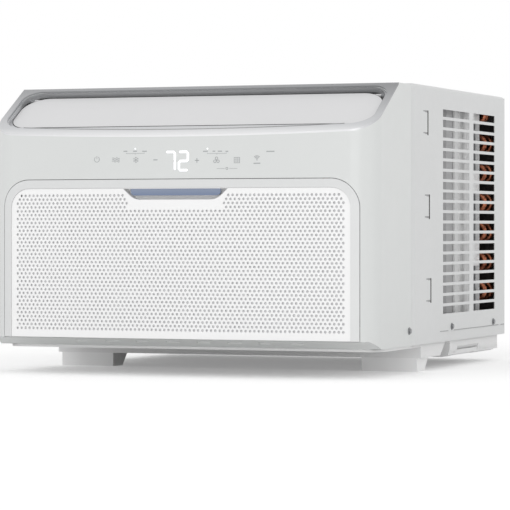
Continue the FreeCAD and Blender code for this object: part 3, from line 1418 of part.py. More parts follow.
def makeFan():
    """Pitched axial blades on a hub, tied by the slinger ring that dips near the pan."""
    start = float(fanY)
    depth = size.fanDepth.value
    axisX = size.fanAxisX.value
    axisZ = float(fanAxisZ)
    tip = size.fanRadius.value
    along = Vector(0, 1, 0)
    centre = Vector(axisX, start, axisZ)
    hubRadius = 34
    hub = prism(hubRadius, depth * 0.8, 24, centre, along)
    hub = hub.cut(prism(hubRadius - 3, depth * 0.8 - 3, 24, centre + along * 3, along))
    boss = prism(size.shaftSize.value * 1.2, depth, 16, centre, along)
    ring = prism(tip + 4, size.slingerWidth.value, 36, centre + along * depth * 0.55, along)
    ring = ring.cut(prism(tip, size.slingerWidth.value + 2, 36, centre + along * (depth * 0.55 - 1), along))
    blades = []
    for number in range(int(size.fanBlades.value)):
        turn = 360 * number / size.fanBlades.value
        blades.append(fanBlade(centre, hubRadius - 2, tip + 2, depth, turn))
    reach = prism(tip + 1.5, depth * 3, 36, centre - along * depth, along)
    blades = [blade.common(reach) for blade in blades]
    fan = hub.fuse([boss, ring] + blades)
    bore = size.shaftSize.value / 2
    fan = fan.cut(Part.makeCylinder(bore, depth * 2, centre - along * 5, along))
    solid("condenser_fan", fan)


def fanBlade(centre, root, tip, depth, turn):
    """One blade lofted from a steep root section to a flat tip section."""
    sections = []
    for radius, chord, pitch in ((root, 44, 52), ((root + tip) / 2, 84, 34), (tip, 108, 24)):
        angle = math.radians(pitch)
        half = chord / 2
        thick = 1.2
        across = Vector(0, math.sin(angle), math.cos(angle))
        away = Vector(0, math.cos(angle), -math.sin(angle))
        middle = Vector(radius, depth * 0.6, 0)
        limit = min(1, depth * 0.5 / (half * math.sin(angle)))
        reach = half * limit
        corners = [middle + across * reach + away * thick, middle - across * reach + away * thick,
                   middle - across * reach - away * thick, middle + across * reach - away * thick]
        sections.append(corners)
    faces = [sections[0], sections[-1]]
    for inner, outer in zip(sections, sections[1:]):
        for corner in range(4):
            other = (corner + 1) % 4
            faces.append([inner[corner], inner[other], outer[other]])
            faces.append([inner[corner], outer[other], outer[corner]])
    blade = polyhedron(faces)
    blade.rotate(Vector(0, 0, 0), Vector(0, 1, 0), turn)
    blade.translate(centre)
    return blade


def makeShroud():
    """Fan orifice with side wings behind the louvres and walls that meet the condenser."""
    plateY = float(shroudY)
    wall = size.shroudWall.value
    half = shroudHalf.value
    low = float(panFloorZ) + 0.3
    rim = float(floorZ + size.panRim)
    high = float(topZ) - 18
    axisX = size.fanAxisX.value
    axisZ = float(fanAxisZ)
    inside = float(panHalf - size.panWall) - 0.3
    plate = Part.makeBox(half * 2, wall, high - rim, Vector(-half, plateY, rim))
    reach = inside - size.panFacetSize.value - 6
    skirt = Part.makeBox(reach * 2, wall, rim - low + 1, Vector(-reach, plateY, low))
    orifice = size.fanRadius.value + 4 + size.shroudGap.value
    along = Vector(0, 1, 0)
    hole = prism(orifice, wall * 3, 36, Vector(axisX, plateY - wall, axisZ), along)
    collar = prism(orifice + wall, 12, 36, Vector(axisX, plateY + wall - 1, axisZ), along)
    collar = collar.cut(prism(orifice, 14, 36, Vector(axisX, plateY, axisZ), along))
    wingStart = float(frontY + size.shroudWingStart)
    stepY = float(frontY + size.shroudStepStart)
    step = size.shroudStep.value
    rearEnd = float(coilY) - 0.3
    wings = []
    for side in (1, -1):
        outline = [
            (half - step - wall, wingStart), (half - step, wingStart), (half - step, stepY - step),
            (half, stepY), (half, plateY + wall), (half - wall, plateY + wall), (half - wall, stepY + 1),
            (half - step - wall, stepY - step + 1),
        ]
        corners = [Vector(x * side, y, rim + 1) for x, y in outline]
        wing = Part.Face(Part.makePolygon(corners + corners[:1])).extrude(Vector(0, 0, high - rim - 1))
        wings.append(wing)
        inner = coilHalf.value + size.endPlate.value + 6
        back = Part.makeBox(wall, rearEnd - plateY, high - rim, Vector(min(side * inner, side * (inner + wall)),
                                                                          plateY, rim))
        wings.append(back)
    shroud = plate.fuse([skirt] + wings).cut(hole).fuse(collar)
    box = shroud.BoundBox
    if box.ZMin < low - 0.01:
        raise RuntimeError("the shroud reaches into the pan")
    solid("fan_shroud", shroud.removeSplitter())


# ---------------------------------------------------------------- coils

def arcPoints(centre, first, last, count):
    """Points on the short arc from first to last about a centre."""
    start = first - centre
    turn = start.getAngle(last - centre)
    axis = start.cross(last - centre)
    points = []
    for number in range(count + 1):
        step = Vector(start)
        spin = Rotation(axis, math.degrees(turn) * number / count)
        points.append(centre + spin.multVec(step))
    return points


def bar(points, radius, sides):
    """A many-sided bar along a broken line, mitred at its corners."""
    start = prism(radius, 1, sides, points[0], points[1] - points[0]).Faces
    facing = (points[0] - points[1]).normalize()
    end = [face for face in start if face.normalAt(0, 0).getAngle(facing) < 0.01][0]
    path = Part.makePolygon(points)
    return path.makePipeShell([end.OuterWire], True, False, 1)


def returnBend(centre, side, up, radius):
    """Half turn of tube between two holes of an end plate, with a straight leg on each."""
    out = Vector(side, 0, 0)
    middle = centre + out * size.bendLeg.value
    low = centre - up * radius
    high = centre + up * radius
    tip = middle + out * radius
    rise = arcPoints(middle, middle - up * radius, tip, 2)
    fall = arcPoints(middle, tip, middle + up * radius, 2)
    return bar([low] + rise + fall[1:] + [high], size.tubeSize.value / 2, 6)


def endPlates(name, start, depth, half, lowZ, height, flanges=()):
    """Two upright plates; flanges gives (distance back, width, rise) of each fold outwards."""
    plates = []
    thick = size.endPlate.value
    for side in (1, -1):
        face = half if side > 0 else -half - thick
        plate = Part.makeBox(thick, depth, height, Vector(face, start, lowZ))
        for back, width, rise in flanges:
            lip = half + thick if side > 0 else -half - thick - width
            fold = Part.makeBox(width, thick, height - rise, Vector(lip, start + back, lowZ + rise))
            plate = plate.fuse(fold)
        plates.append(plate.removeSplitter())
    solid(f"{name}_end_plates", Part.makeCompound(plates))


def makeCondenser():
    start = coilY
    lowZ = panFloorZ + size.seat
    fins = newBody("condenser_fins")
    pad(fins, "YZ", 0, rectangle(start, start + size.coilDepth, lowZ, lowZ + size.coilHeight),
        coilHalf * 2, middle=True)
    keep(fins, "condenser_fins")
    rearFold = (size.coilDepth - size.endPlate).value
    flanges = [(0, size.endFlange.value, 0), (rearFold, size.rearFlange.value, size.flangeRise.value)]
    endPlates("condenser", float(start), size.coilDepth.value, coilHalf.value, float(lowZ),
              size.coilHeight.value, flanges)
    pieces = []
    pitch = size.tubePitch.value
    outside = (coilHalf + size.endPlate).value
    row = float(start) + size.coilDepth.value * 0.28
    for side in (1, -1):
        for number in range(int(size.condenserBends.value)):
            z = float(lowZ) + pitch * (2 * number + 1.1)
            pieces.append(returnBend(Vector(side * outside, row, z), side, Vector(0, 0, 1), pitch / 2))
    solid("condenser_bends", Part.makeCompound(pieces))


def makeEvaporator():
    start = frontY + size.evaporatorSetback
    lowZ = floorZ + size.panRim + size.trayHeight * 0.2
    fins = newBody("evaporator_fins")
    pad(fins, "YZ", 0, rectangle(start, start + size.evaporatorDepth, lowZ, lowZ + size.evaporatorHeight),
        evaporatorHalf * 2, middle=True)
    keep(fins, "evaporator_fins")
    endPlates("evaporator", float(start), size.evaporatorDepth.value, evaporatorHalf.value,
              float(lowZ), size.evaporatorHeight.value)
    pieces = []
    pitch = size.tubePitch.value
    outside = (evaporatorHalf + size.endPlate).value
    row = float(start) + size.evaporatorDepth.value * 0.5
    for side in (1, -1):
        for number in range(int(size.evaporatorBends.value)):
            z = float(lowZ) + pitch * (2 * number + 1.1)
            pieces.append(returnBend(Vector(side * outside, row, z), side, Vector(0, 0, 1), pitch / 2))
    solid("evaporator_bends", Part.makeCompound(pieces))


def makeTray():
    """Drip tray under the evaporator."""
    body = newBody("drip_tray")
    start = frontY + size.evaporatorSetback - size.trayWall - 1
    end = start + size.evaporatorDepth + size.trayWall * 2 + 2
    half = evaporatorHalf + size.endPlate + 18
    high = floorZ + size.panRim + size.trayHeight * 0.2 - size.seat + size.trayHeight * 0.5
    low = high - size.trayHeight
    pad(body, "YZ", 0, rectangle(start, end, low, high), half * 2, middle=True)
    wall = size.trayWall
    cut(body, "YZ", 0, rectangle(start + wall, end - wall, low + size.trayHeight * 0.5, high + 1),
        (half - wall) * 2, middle=True)
    floor = floorZ - size.panFrontDrop + size.panWall
    for place in (-0.8, 0, 0.8):
        rib = rectangle(start + 4, end - 4, floor, low + 1)
        pad(body, "YZ", (evaporatorHalf * place), rib, size.trayWall * 1.5, middle=True)
    keep(body, "drip_tray")


# ---------------------------------------------------------------- refrigerant circuit

def tube(points, bend, diameter):
    """A tube along straight runs joined by tangent arcs."""
    line = [points[0]]
    for before, at, after in zip(points, points[1:], points[2:]):
        inward = (before - at).normalize()
        outward = (after - at).normalize()
        half = inward.getAngle(outward) / 2
        back = bend / math.tan(half)
        centre = at + (inward + outward).normalize() * (bend / math.sin(half))
        line += arcPoints(centre, at + inward * back, at + outward * back, 3)
    return bar(line + [points[-1]], diameter / 2, 8)


def compressorSpots():
    centre = (compressorX.value, float(compressorY))
    radius = size.compressorFeetRadius.value
    count = int(size.compressorFeet.value)
    spots = []
    for number in range(count):
        angle = math.radians(60 + 360 * number / count)
        spots.append(Vector(centre[0] + radius * math.cos(angle), centre[1] + radius * math.sin(angle), 0))
    return Vector(centre[0], centre[1], 0), spots


def makeCompressor():
    """Rotary compressor on rubber grommets, with bolts that stand on the pan."""
    centre, spots = compressorSpots()
    floor = float(panFloorZ)
    grommet = size.grommetHeight.value
    radius = size.compressorRadius.value
    height = size.compressorHeight.value
    base = floor + grommet
    thick = 2.5
    up = Vector(0, 0, 1)
    domeHeight = 16
    shell = prism(radius, height - domeHeight, 28, centre + up * (base + thick), up)
    dome = frustum(radius, radius * 0.68, domeHeight, 28, centre + up * (base + thick + height - domeHeight), up)
    shell = shell.fuse(dome)
    plates = [prism(size.grommetRadius.value + 2, thick, 12, spot + up * base, up) for spot in spots]
    web = Part.makePolygon([spot + Vector(0, 0, base) for spot in spots + spots[:1]])
    plates.append(Part.Face(web).extrude(Vector(0, 0, thick)))
    body = shell.fuse(plates)
    bore = size.boltSize.value / 2 + 0.4
    for spot in spots:
        body = body.cut(prism(bore, thick * 3, 8, spot + up * (base - thick), up))
    cap = prism(10, 10, 12, centre + Vector(radius * 0.35, 0, base + thick + height - 1), up)
    solid("compressor", body.fuse(cap))
    grommets = []
    bolts = []
    for spot in spots:
        rubber = prism(size.grommetRadius.value, grommet, 12, spot + up * floor, up)
        grommets.append(rubber.cut(prism(bore, grommet, 8, spot + up * floor, up)))
        shank = prism(size.boltSize.value / 2, grommet + thick, 8, spot + up * floor, up)
        nut = prism(size.boltSize.value, 4, 6, spot + up * (base + thick), up)
        bolts.append(shank.fuse(nut))
    solid("compressor_grommets", Part.makeCompound(grommets))
    solid("compressor_bolts", Part.makeCompound(bolts))


def makeAccumulator():
    """Suction accumulator strapped beside the compressor."""
    centre, spots = compressorSpots()
    radius = size.accumulatorRadius.value
    height = size.accumulatorHeight.value
    spot = centre - Vector(0, size.compressorRadius.value + radius + size.seat.value, 0)
    base = float(panFloorZ) + size.grommetHeight.value + size.compressorHeight.value * 0.25
    up = Vector(0, 0, 1)
    can = prism(radius, height - 20, 20, spot + up * (base + 10), up)
    for start in (base, base + height - 10):
        can = can.fuse(prism(radius * 0.6, 10, 16, spot + up * start, up))
    low = base - 14
    route = [Vector(spot.x, spot.y, base + 1), Vector(spot.x, spot.y, low),
             Vector(spot.x, centre.y - size.compressorRadius.value - size.seat.value, low)]
    solid("accumulator", can.fuse(tube(route, 8, size.pipeSize.value)))
    return spot, base + height


def makePipes():
    """Discharge pipe to the condenser, suction pipe and capillary tube to the evaporator."""
    centre, spots = compressorSpots()
    spot, top = makeAccumulator()
    diameter = size.pipeSize.value
    bend = diameter * 1.6
    thick = 2.5
    crown = float(panFloorZ) + size.grommetHeight.value + thick + size.compressorHeight.value
    over = float(topZ) - size.cabinetGauge.value - diameter / 2 - 5
    inletY = float(coilY) + size.coilDepth.value * 0.25
    coilTop = float(panFloorZ + size.seat + size.coilHeight) + 0.3
    x = centre.x
    route = [Vector(x, centre.y, crown), Vector(x, centre.y, over), Vector(x, inletY, over),
             Vector(x, inletY, coilTop)]
    solid("discharge_pipe", tube(route, bend * 0.7, diameter))
    levelZ = float(suctionZ)
    evaporatorY = float(frontY + size.evaporatorSetback) + size.evaporatorDepth.value * 0.5
    evaporatorTop = float(floorZ + size.panRim + size.trayHeight * 0.2 + size.evaporatorHeight) + 0.3
    route = [Vector(x, spot.y, top), Vector(x, spot.y, levelZ), Vector(x, evaporatorY, levelZ),
             Vector(x, evaporatorY, evaporatorTop)]
    solid("suction_pipe", tube(route, 8, diameter))
    thin = size.capillarySize.value
    side = x + diameter * 2.5
    route = [
        Vector(side, evaporatorY, evaporatorTop), Vector(side, evaporatorY, levelZ),
        Vector(side, float(bulkheadY) + 40, levelZ), Vector(side, float(bulkheadY) + 40, levelZ + 40),
        Vector(side, centre.y, levelZ + 40), Vector(side, centre.y, over),
        Vector(side, inletY, over), Vector(side, inletY, coilTop),
    ]
    solid("capillary_tube", tube(route, 5, thin))


# ---------------------------------------------------------------- controls

def makeControls():
    """Control box with its board, and the display board behind the front."""
    body = newBody("control_box")
    startY = frontY + size.boxSetback
    lowZ = floorZ + size.panRim
    inner = boxX
    pad(body, "YZ", inner, rectangle(startY, startY + size.boxDepth, lowZ, lowZ + size.boxHeight), size.boxWidth)
    wall = size.boxWall
    cut(body, "YZ", inner + wall,
        rectangle(startY + wall, startY + size.boxDepth - wall, lowZ + wall, lowZ + size.boxHeight - wall),
        size.boxWidth, reverse=True)
    keep(body, "control_box")
    board = newBody("control_board")
    margin = wall + 3
    pad(board, "YZ", inner + wall,
        rectangle(startY + margin, startY + size.boxDepth - margin, lowZ + margin, lowZ + size.boxHeight - margin),
        size.boardThickness)
    for up, high, along, deep, tall in ((0.1, 20, 0.15, 22, 30), (0.55, 14, 0.2, 30, 24), (0.3, 16, 0.55, 18, 18)):
        spotY = startY + size.boxDepth * along
        spotZ = lowZ + size.boxHeight * up
        pad(board, "YZ", inner + wall + size.boardThickness * 0.5,
            rectangle(spotY, spotY + deep, spotZ, spotZ + tall), high)
    keep(board, "control_board")
    display = newBody("display_board")
    low = floorZ + size.displayRise
    face = cornerY + size.bezelWall + 6
    pad(display, "XZ", -face, rectangle(-size.displayHalf, size.displayHalf, low, low + size.displayHeight),
        size.boardThickness, reverse=True)
    for centre, half in ((-size.displayHalf + 8, 4), (0, 24), (size.displayHalf - 8, 4)):
        pad(display, "XZ", -face, rectangle(centre - half, centre + half, low + 5, low + size.displayHeight - 5),
            face - frontY)
    cutInFront(display, size.bezelWall + size.seat)
    keep(display, "display_board")


# ---------------------------------------------------------------- write the pieces

def writePieces():
    doc.recompute()
    for item in doc.Objects:
        if "Invalid" in item.State or "Error" in item.State:
            raise RuntimeError(f"{item.Name} ({item.Label}) failed: {item.State}")
    os.makedirs("parts", exist_ok=True)
    for piece in subParts:
        if piece.Shape.isNull() or not piece.Shape.isValid():
            raise RuntimeError(f"{piece.Label} has no valid shape")
        piece.Shape.exportStep(os.path.join("parts", f"{piece.Label}.step"))
        print(piece.Label, len(piece.Shape.Solids), round(piece.Shape.Volume / 1000, 2))

makeCabinet()
makeScrews()
makePan()
makeFoot("foot_left", -1)
makeFoot("foot_right", 1)
makeBezel()
makeTrim()
makeFlap()
makeFlapMotor()
makeGrilleFrame()
makeGrillePanel()
makeLens()
makeFilter()
makeDuct()
makeVanes()
makeVaneLink()
makeHousing()
makeWheel()
makeBulkhead()
makeMotor()
makeShaft()
makeFan()
makeShroud()
makeCondenser()
makeEvaporator()
makeTray()
makeCompressor()
makePipes()
makeControls()
writePieces()
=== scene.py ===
import json
import math

import bmesh
import bpy
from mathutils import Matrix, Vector
from mathutils.geometry import delaunay_2d_cdt


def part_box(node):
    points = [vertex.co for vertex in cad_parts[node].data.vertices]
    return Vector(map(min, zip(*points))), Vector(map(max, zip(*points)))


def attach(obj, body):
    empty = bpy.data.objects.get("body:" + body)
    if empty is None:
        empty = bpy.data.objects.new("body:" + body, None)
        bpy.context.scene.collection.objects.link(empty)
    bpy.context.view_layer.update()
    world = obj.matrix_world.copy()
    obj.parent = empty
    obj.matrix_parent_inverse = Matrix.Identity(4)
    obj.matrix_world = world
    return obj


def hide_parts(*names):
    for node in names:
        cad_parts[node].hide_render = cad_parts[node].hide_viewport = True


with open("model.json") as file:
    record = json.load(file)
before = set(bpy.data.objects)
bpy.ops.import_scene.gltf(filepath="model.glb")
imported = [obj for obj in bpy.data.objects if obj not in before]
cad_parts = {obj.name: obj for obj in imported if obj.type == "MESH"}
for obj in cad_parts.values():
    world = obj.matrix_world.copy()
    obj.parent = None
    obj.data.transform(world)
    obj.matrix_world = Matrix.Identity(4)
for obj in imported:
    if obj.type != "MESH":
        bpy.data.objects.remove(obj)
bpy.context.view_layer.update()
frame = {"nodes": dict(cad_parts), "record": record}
nodes = frame["nodes"]
mm = 0.001
print("frame loaded with", len(nodes), "nodes")


class Value:
    # a socket that takes part in sums; every operator adds one Math node
    def __init__(self, finish, socket):
        self.finish = finish
        self.socket = socket

    def math(self, operation, *others, clamp=False):
        settings = {"operation": operation, "use_clamp": clamp}
        return self.finish.node("ShaderNodeMath", settings, dict(enumerate((self, *others))))

    def __sub__(self, other):
        return self.math("SUBTRACT", other)

    def __mul__(self, other):
        return self.math("MULTIPLY", other)

    def clamped(self, factor):
        return self.math("MULTIPLY", factor, clamp=True)


def findSocket(sockets, key):
    # by identifier, or else by label or number
    for socket in sockets:
        if socket.identifier == key:
            return socket
    return sockets[key]


class Finish:
    # the node tree of one material or world, with the nodes that most finishes share
    noiseLow = 0.3
    noiseHigh = 0.7

    def __init__(self, name, family="materials"):
        self.owner = getattr(bpy.data, family).new(name)
        self.owner.use_nodes = True
        self.tree = self.owner.node_tree
        self.tree.nodes.clear()
        self.place = self.node("ShaderNodeTexCoord", out="Object")

    def node(self, kind, settings=None, inputs=None, out=0):
        node = self.tree.nodes.new(kind)
        for key, setting in (settings or {}).items():
            setattr(node, key, setting)
        for key, given in (inputs or {}).items():
            socket = findSocket(node.inputs, key)
            if isinstance(given, Value):
                self.tree.links.new(given.socket, socket)
            else:
                socket.default_value = given
        return Value(self, findSocket(node.outputs, out))

    def noise(self, scale, detail=2.0, roughness=0.5, stretch=None):
        place = self.place
        if stretch:
            place = self.node("ShaderNodeMapping", None, {"Vector": place, "Scale": stretch})
        inputs = {"Vector": place, "Scale": scale, "Detail": detail, "Roughness": roughness}
        return self.node("ShaderNodeTexNoise", {"noise_dimensions": "3D"}, inputs)

    def cells(self, scale, feature="F1", out="Distance"):
        inputs = {"Vector": self.place, "Scale": scale}
        return self.node("ShaderNodeTexVoronoi", {"feature": feature}, inputs, out)

    def axis(self, letter):
        return self.node("ShaderNodeSeparateXYZ", None, {"Vector": self.place}, letter)

    def riseWithin(self, box):
        # 0 at the bottom of a box to 1 at its top
        low, high = box
        return (self.axis("Z") - low.z) * (1 / (high.z - low.z))

    def mix(self, factor, first, second):
        settings = {"data_type": "RGBA", "blend_type": "MIX"}
        inputs = {"Factor_Float": factor, "A_Color": first, "B_Color": second}
        return self.node("ShaderNodeMix", settings, inputs, "Result_Color")

    def spread(self, value, low, high):
        # a noise value, stretched over a range
        inputs = {"Value": value, "From Min": self.noiseLow, "From Max": self.noiseHigh,
                  "To Min": low, "To Max": high}
        return self.node("ShaderNodeMapRange", {"clamp": True}, inputs)

    def blend(self, value, first, second):
        # one colour to another as a noise value rises
        return self.mix(self.spread(value, 0.0, 1.0), first, second)

    def bump(self, height, distance, strength=1.0):
        inputs = {"Height": height, "Distance": distance, "Strength": strength}
        return self.node("ShaderNodeBump", None, inputs)

    def surface(self, **inputs):
        named = {key.replace("_", " "): given for key, given in inputs.items()}
        self.output(self.node("ShaderNodeBsdfPrincipled", None, named, "BSDF"))
        return self.owner

    def output(self, shader, kind="Material"):
        end = self.tree.nodes.new("ShaderNodeOutput" + kind)
        self.tree.links.new(shader.socket, end.inputs["Surface"])


def linear(level):
    # one display value from 0 to 255, as the shader wants it
    level /= 255
    return level / 12.92 if level <= 0.04045 else ((level + 0.055) / 1.055) ** 2.4


def shade(colour, factor=1.0):
    # a display colour, made lighter or darker
    return tuple(min(1.0, linear(level) * factor) for level in colour) + (1.0,)


def mouldedPlastic(name, colour, roughness, grain, depth, drift, coat):
    # injection moulded: fine spark-eroded grain and a slow drift of tone
    finish = Finish(name)
    cloud = finish.noise(7.0, 3.0)
    tone = finish.blend(cloud, shade(colour, 1 - drift), shade(colour, 1 + drift))
    fine = finish.noise(1 / (grain * mm), 2.0, 0.6)
    wear = finish.noise(55.0, 4.0, 0.6)
    rough = finish.spread(wear, roughness - 0.05, roughness + 0.05)
    return finish.surface(Base_Color=tone, Roughness=rough, Coat_Weight=coat, Coat_Roughness=0.25,
                          Normal=finish.bump(fine, depth * mm))


def powderCoat(name, colour):
    # baked coat on steel: orange peel about a millimetre across
    finish = Finish(name)
    peel = finish.noise(850.0, 2.0, 0.45)
    dip = finish.noise(120.0, 2.0, 0.5)
    cloud = finish.noise(5.0, 3.0)
    tone = finish.blend(cloud, shade(colour, 0.985), shade(colour, 1.015))
    return finish.surface(Base_Color=tone, Roughness=finish.spread(dip, 0.4, 0.5),
                          Specular_IOR_Level=0.5, Normal=finish.bump(peel, 0.05 * mm, 0.8))


def galvanisedSheet(name, colour):
    # zinc spangle: flat crystals of slightly different grey
    finish = Finish(name)
    spangle = 95.0
    crystal = finish.cells(spangle, out="Color")
    level = finish.node("ShaderNodeSeparateColor", None, {"Color": crystal}, "Red")
    tone = finish.mix(level, shade(colour, 0.8), shade(colour, 1.15))
    rough = finish.node("ShaderNodeMapRange", None, {"Value": level, "To Min": 0.32, "To Max": 0.5})
    edge = finish.cells(spangle, "DISTANCE_TO_EDGE")
    return finish.surface(Base_Color=tone, Metallic=0.85, Roughness=rough,
                          Normal=finish.bump(edge, 0.08 * mm, 0.3))


def drawnSteel(name, colour, roughness, stretch):
    # fine draw or turning lines along one axis
    finish = Finish(name)
    lines = finish.noise(900.0, 3.0, 0.6, stretch)
    blotch = finish.noise(60.0, 3.0)
    tone = finish.blend(blotch, shade(colour, 0.88), shade(colour, 1.06))
    rough = finish.spread(lines, roughness - 0.08, roughness + 0.08)
    return finish.surface(Base_Color=tone, Metallic=0.95, Roughness=rough,
                          Normal=finish.bump(lines, 0.03 * mm, 0.6))


def finAluminium(name, colour):
    # bright thin sheet with a light dull film in patches
    finish = Finish(name)
    film = finish.noise(35.0, 4.0, 0.6)
    ripple = finish.noise(400.0, 2.0, 0.5, (1.0, 0.3, 1.0))
    tone = finish.blend(film, shade(colour, 0.82), shade(colour, 1.05))
    return finish.surface(Base_Color=tone, Metallic=0.45, Roughness=finish.spread(film, 0.3, 0.48),
                          Normal=finish.bump(ripple, 0.05 * mm, 0.4))


def copperTube(name, bright, dull):
    # drawn copper with darker tarnish and brazing heat marks
    finish = Finish(name)
    tarnish = finish.noise(150.0, 4.0, 0.66)
    spots = finish.noise(420.0, 3.0, 0.6)
    tone = finish.blend(tarnish, shade(bright), shade(dull))
    return finish.surface(Base_Color=tone, Metallic=0.95, Roughness=finish.spread(spots, 0.24, 0.42),
                          Normal=finish.bump(spots, 0.04 * mm, 0.4))


def sprayedEnamel(name, colour):
    # thick black enamel with a soft sag texture
    finish = Finish(name)
    sag = finish.noise(160.0, 2.0, 0.5, (1.0, 1.0, 0.5))
    dust = finish.noise(1100.0, 2.0, 0.6)
    tone = finish.blend(dust, shade(colour), shade(colour, 1.9))
    return finish.surface(Base_Color=tone, Roughness=finish.spread(dust, 0.22, 0.4), Coat_Weight=0.4,
                          Coat_Roughness=0.2, Normal=finish.bump(sag, 0.2 * mm, 0.5))


def foamBlock(name, colour):
    # expanded bead foam: packed beads with small gaps
    finish = Finish(name)
    beads = 260.0
    bead = finish.cells(beads)
    gap = finish.cells(beads, "DISTANCE_TO_EDGE")
    tone = finish.mix(bead.clamped(1.6), shade(colour, 1.25), shade(colour, 0.75))
    return finish.surface(Base_Color=tone, Roughness=finish.spread(bead, 0.85, 0.95),
                          Normal=finish.bump(gap, 0.4 * mm, 0.6))


def satinTrimPaintedReflection(name):
    # satin lacquer; its bright front band and the darker top and right are painted reflection and shade, set
    # by position
    finish = Finish(name)
    low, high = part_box("outlet_trim")
    rise = finish.riseWithin((low, high))
    side = finish.axis("X") * (1 / high.x)
    brush = finish.noise(260.0, 3.0, 0.6)
    # painted reflection: near white along the lowest band fading to light grey, then darker grey on the upper
    # band, darkest to the right
    front = finish.mix(rise.clamped(5.0), shade((243, 243, 244)), shade((206, 207, 209)))
    paintedShadeUpper = finish.mix(side.clamped(0.9), shade((160, 161, 163)), shade((140, 141, 143)))
    tone = finish.mix((rise - 0.2).clamped(1.35), front, paintedShadeUpper)
    return finish.surface(Base_Color=tone, Metallic=0.25, Roughness=finish.spread(brush, 0.3, 0.36))


def softRubber(name, colour):
    # matt rubber with a fine moulding texture
    finish = Finish(name)
    fine = finish.noise(700.0, 3.0, 0.6)
    tone = finish.blend(fine, shade(colour), shade(colour, 1.5))
    return finish.surface(Base_Color=tone, Roughness=finish.spread(fine, 0.7, 0.85),
                          Normal=finish.bump(fine, 0.08 * mm, 0.6))


def circuitBoard(name, resist, track):
    # green resist over raised copper tracks
    finish = Finish(name)
    tracks = finish.cells(210.0, "DISTANCE_TO_EDGE").math("LESS_THAN", 0.06)
    speck = finish.noise(500.0)
    tone = finish.mix(tracks, shade(resist), shade(track))
    return finish.surface(Base_Color=tone, Roughness=finish.spread(speck, 0.3, 0.45),
                          Normal=finish.bump(tracks, 0.04 * mm, 0.8))


def wovenNet(name, colour, pitch):
    # fine square net, threads in X and Z
    finish = Finish(name)
    turns = 2 * math.pi / (pitch * mm)
    wide, tall = [(finish.axis(letter) * turns).math("SINE") for letter in ("X", "Z")]
    thread = wide.math("MAXIMUM", tall)
    raised = thread.math("GREATER_THAN", 0.35)
    tone = finish.mix(raised, shade(colour, 0.72), shade(colour, 1.06))
    return finish.surface(Base_Color=tone, Roughness=finish.spread(thread, 0.6, 0.75),
                          Normal=finish.bump(thread, 0.2 * mm, 0.7))


def smokedLens(name):
    # tinted window strip, with a painted highlight that makes it a little lighter along its top edge
    finish = Finish(name)
    rise = finish.riseWithin(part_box("status_lens")).clamped(1.0)
    haze = finish.noise(30.0, 3.0)
    tone = finish.mix(rise, shade((112, 128, 158)), shade((140, 151, 173)))
    return finish.surface(Base_Color=tone, Roughness=finish.spread(haze, 0.12, 0.2), Coat_Weight=0.5,
                          Coat_Roughness=0.08, Normal=finish.bump(haze, 0.02 * mm, 0.3))


def litSegment(name):
    # white light behind a diffusing window
    finish = Finish(name)
    glow = finish.noise(300.0)
    tone = finish.blend(glow, (0.93, 0.94, 1.0, 1.0), (1.0, 1.0, 1.0, 1.0))
    return finish.surface(Base_Color=tone, Roughness=finish.spread(glow, 0.4, 0.5), Emission_Color=tone,
                          Emission_Strength=0.55)


# name, display colour, roughness, grain and its depth in mm, drift of tone, clear coat
plastics = {
    # the pan and the feet are lighter than their own off-white: painted light, making up for the shade under
    # the unit
    "pan_plastic": ("basePanPlasticPaintedLight", (236, 236, 236), 0.5, 0.9, 0.04, 0.02, 0.0),
    "foot_plastic": ("footPlasticPaintedLight", (248, 248, 248), 0.5, 0.8, 0.04, 0.01, 0.0),
    "bezel_plastic": ("bezelPlastic", (222, 224, 223), 0.38, 0.7, 0.015, 0.008, 0.15),
    "dark_plastic": ("darkPlastic", (56, 56, 58), 0.5, 0.9, 0.04, 0.06, 0.0),
    "shroud_plastic": ("shroudPlastic", (186, 186, 187), 0.45, 0.9, 0.03, 0.02, 0.0),
    "grille_frame_plastic": ("grilleFramePlastic", (224, 225, 225), 0.4, 0.7, 0.015, 0.006, 0.1),
    "grille_plastic": ("grillePanelPlastic", (250, 250, 250), 0.42, 0.7, 0.015, 0.006, 0.0),
    "filter_plastic": ("filterFramePlastic", (240, 240, 240), 0.5, 0.9, 0.04, 0.05, 0.0),
    "flap_plastic": ("flapPlastic", (224, 224, 225), 0.38, 0.7, 0.015, 0.006, 0.1),
    "vane_plastic": ("vanePlastic", (208, 208, 208), 0.45, 0.8, 0.03, 0.02, 0.0),
    "fan_plastic": ("fanPlastic", (78, 78, 80), 0.5, 0.9, 0.04, 0.05, 0.0),
    "clip_plastic": ("clipPlastic", (246, 246, 246), 0.45, 0.8, 0.03, 0.01, 0.0),
    # a grey that stands for shadow lines along the sill, the side folds and the slot legs: painted shadow
    "pressed_edge": ("paintedShadowLine", (158, 158, 159), 0.5, 0.8, 0.02, 0.03, 0.0),
    "printed_ink": ("printedInk", (164, 167, 168), 0.5, 0.5, 0.01, 0.03, 0.0),
}
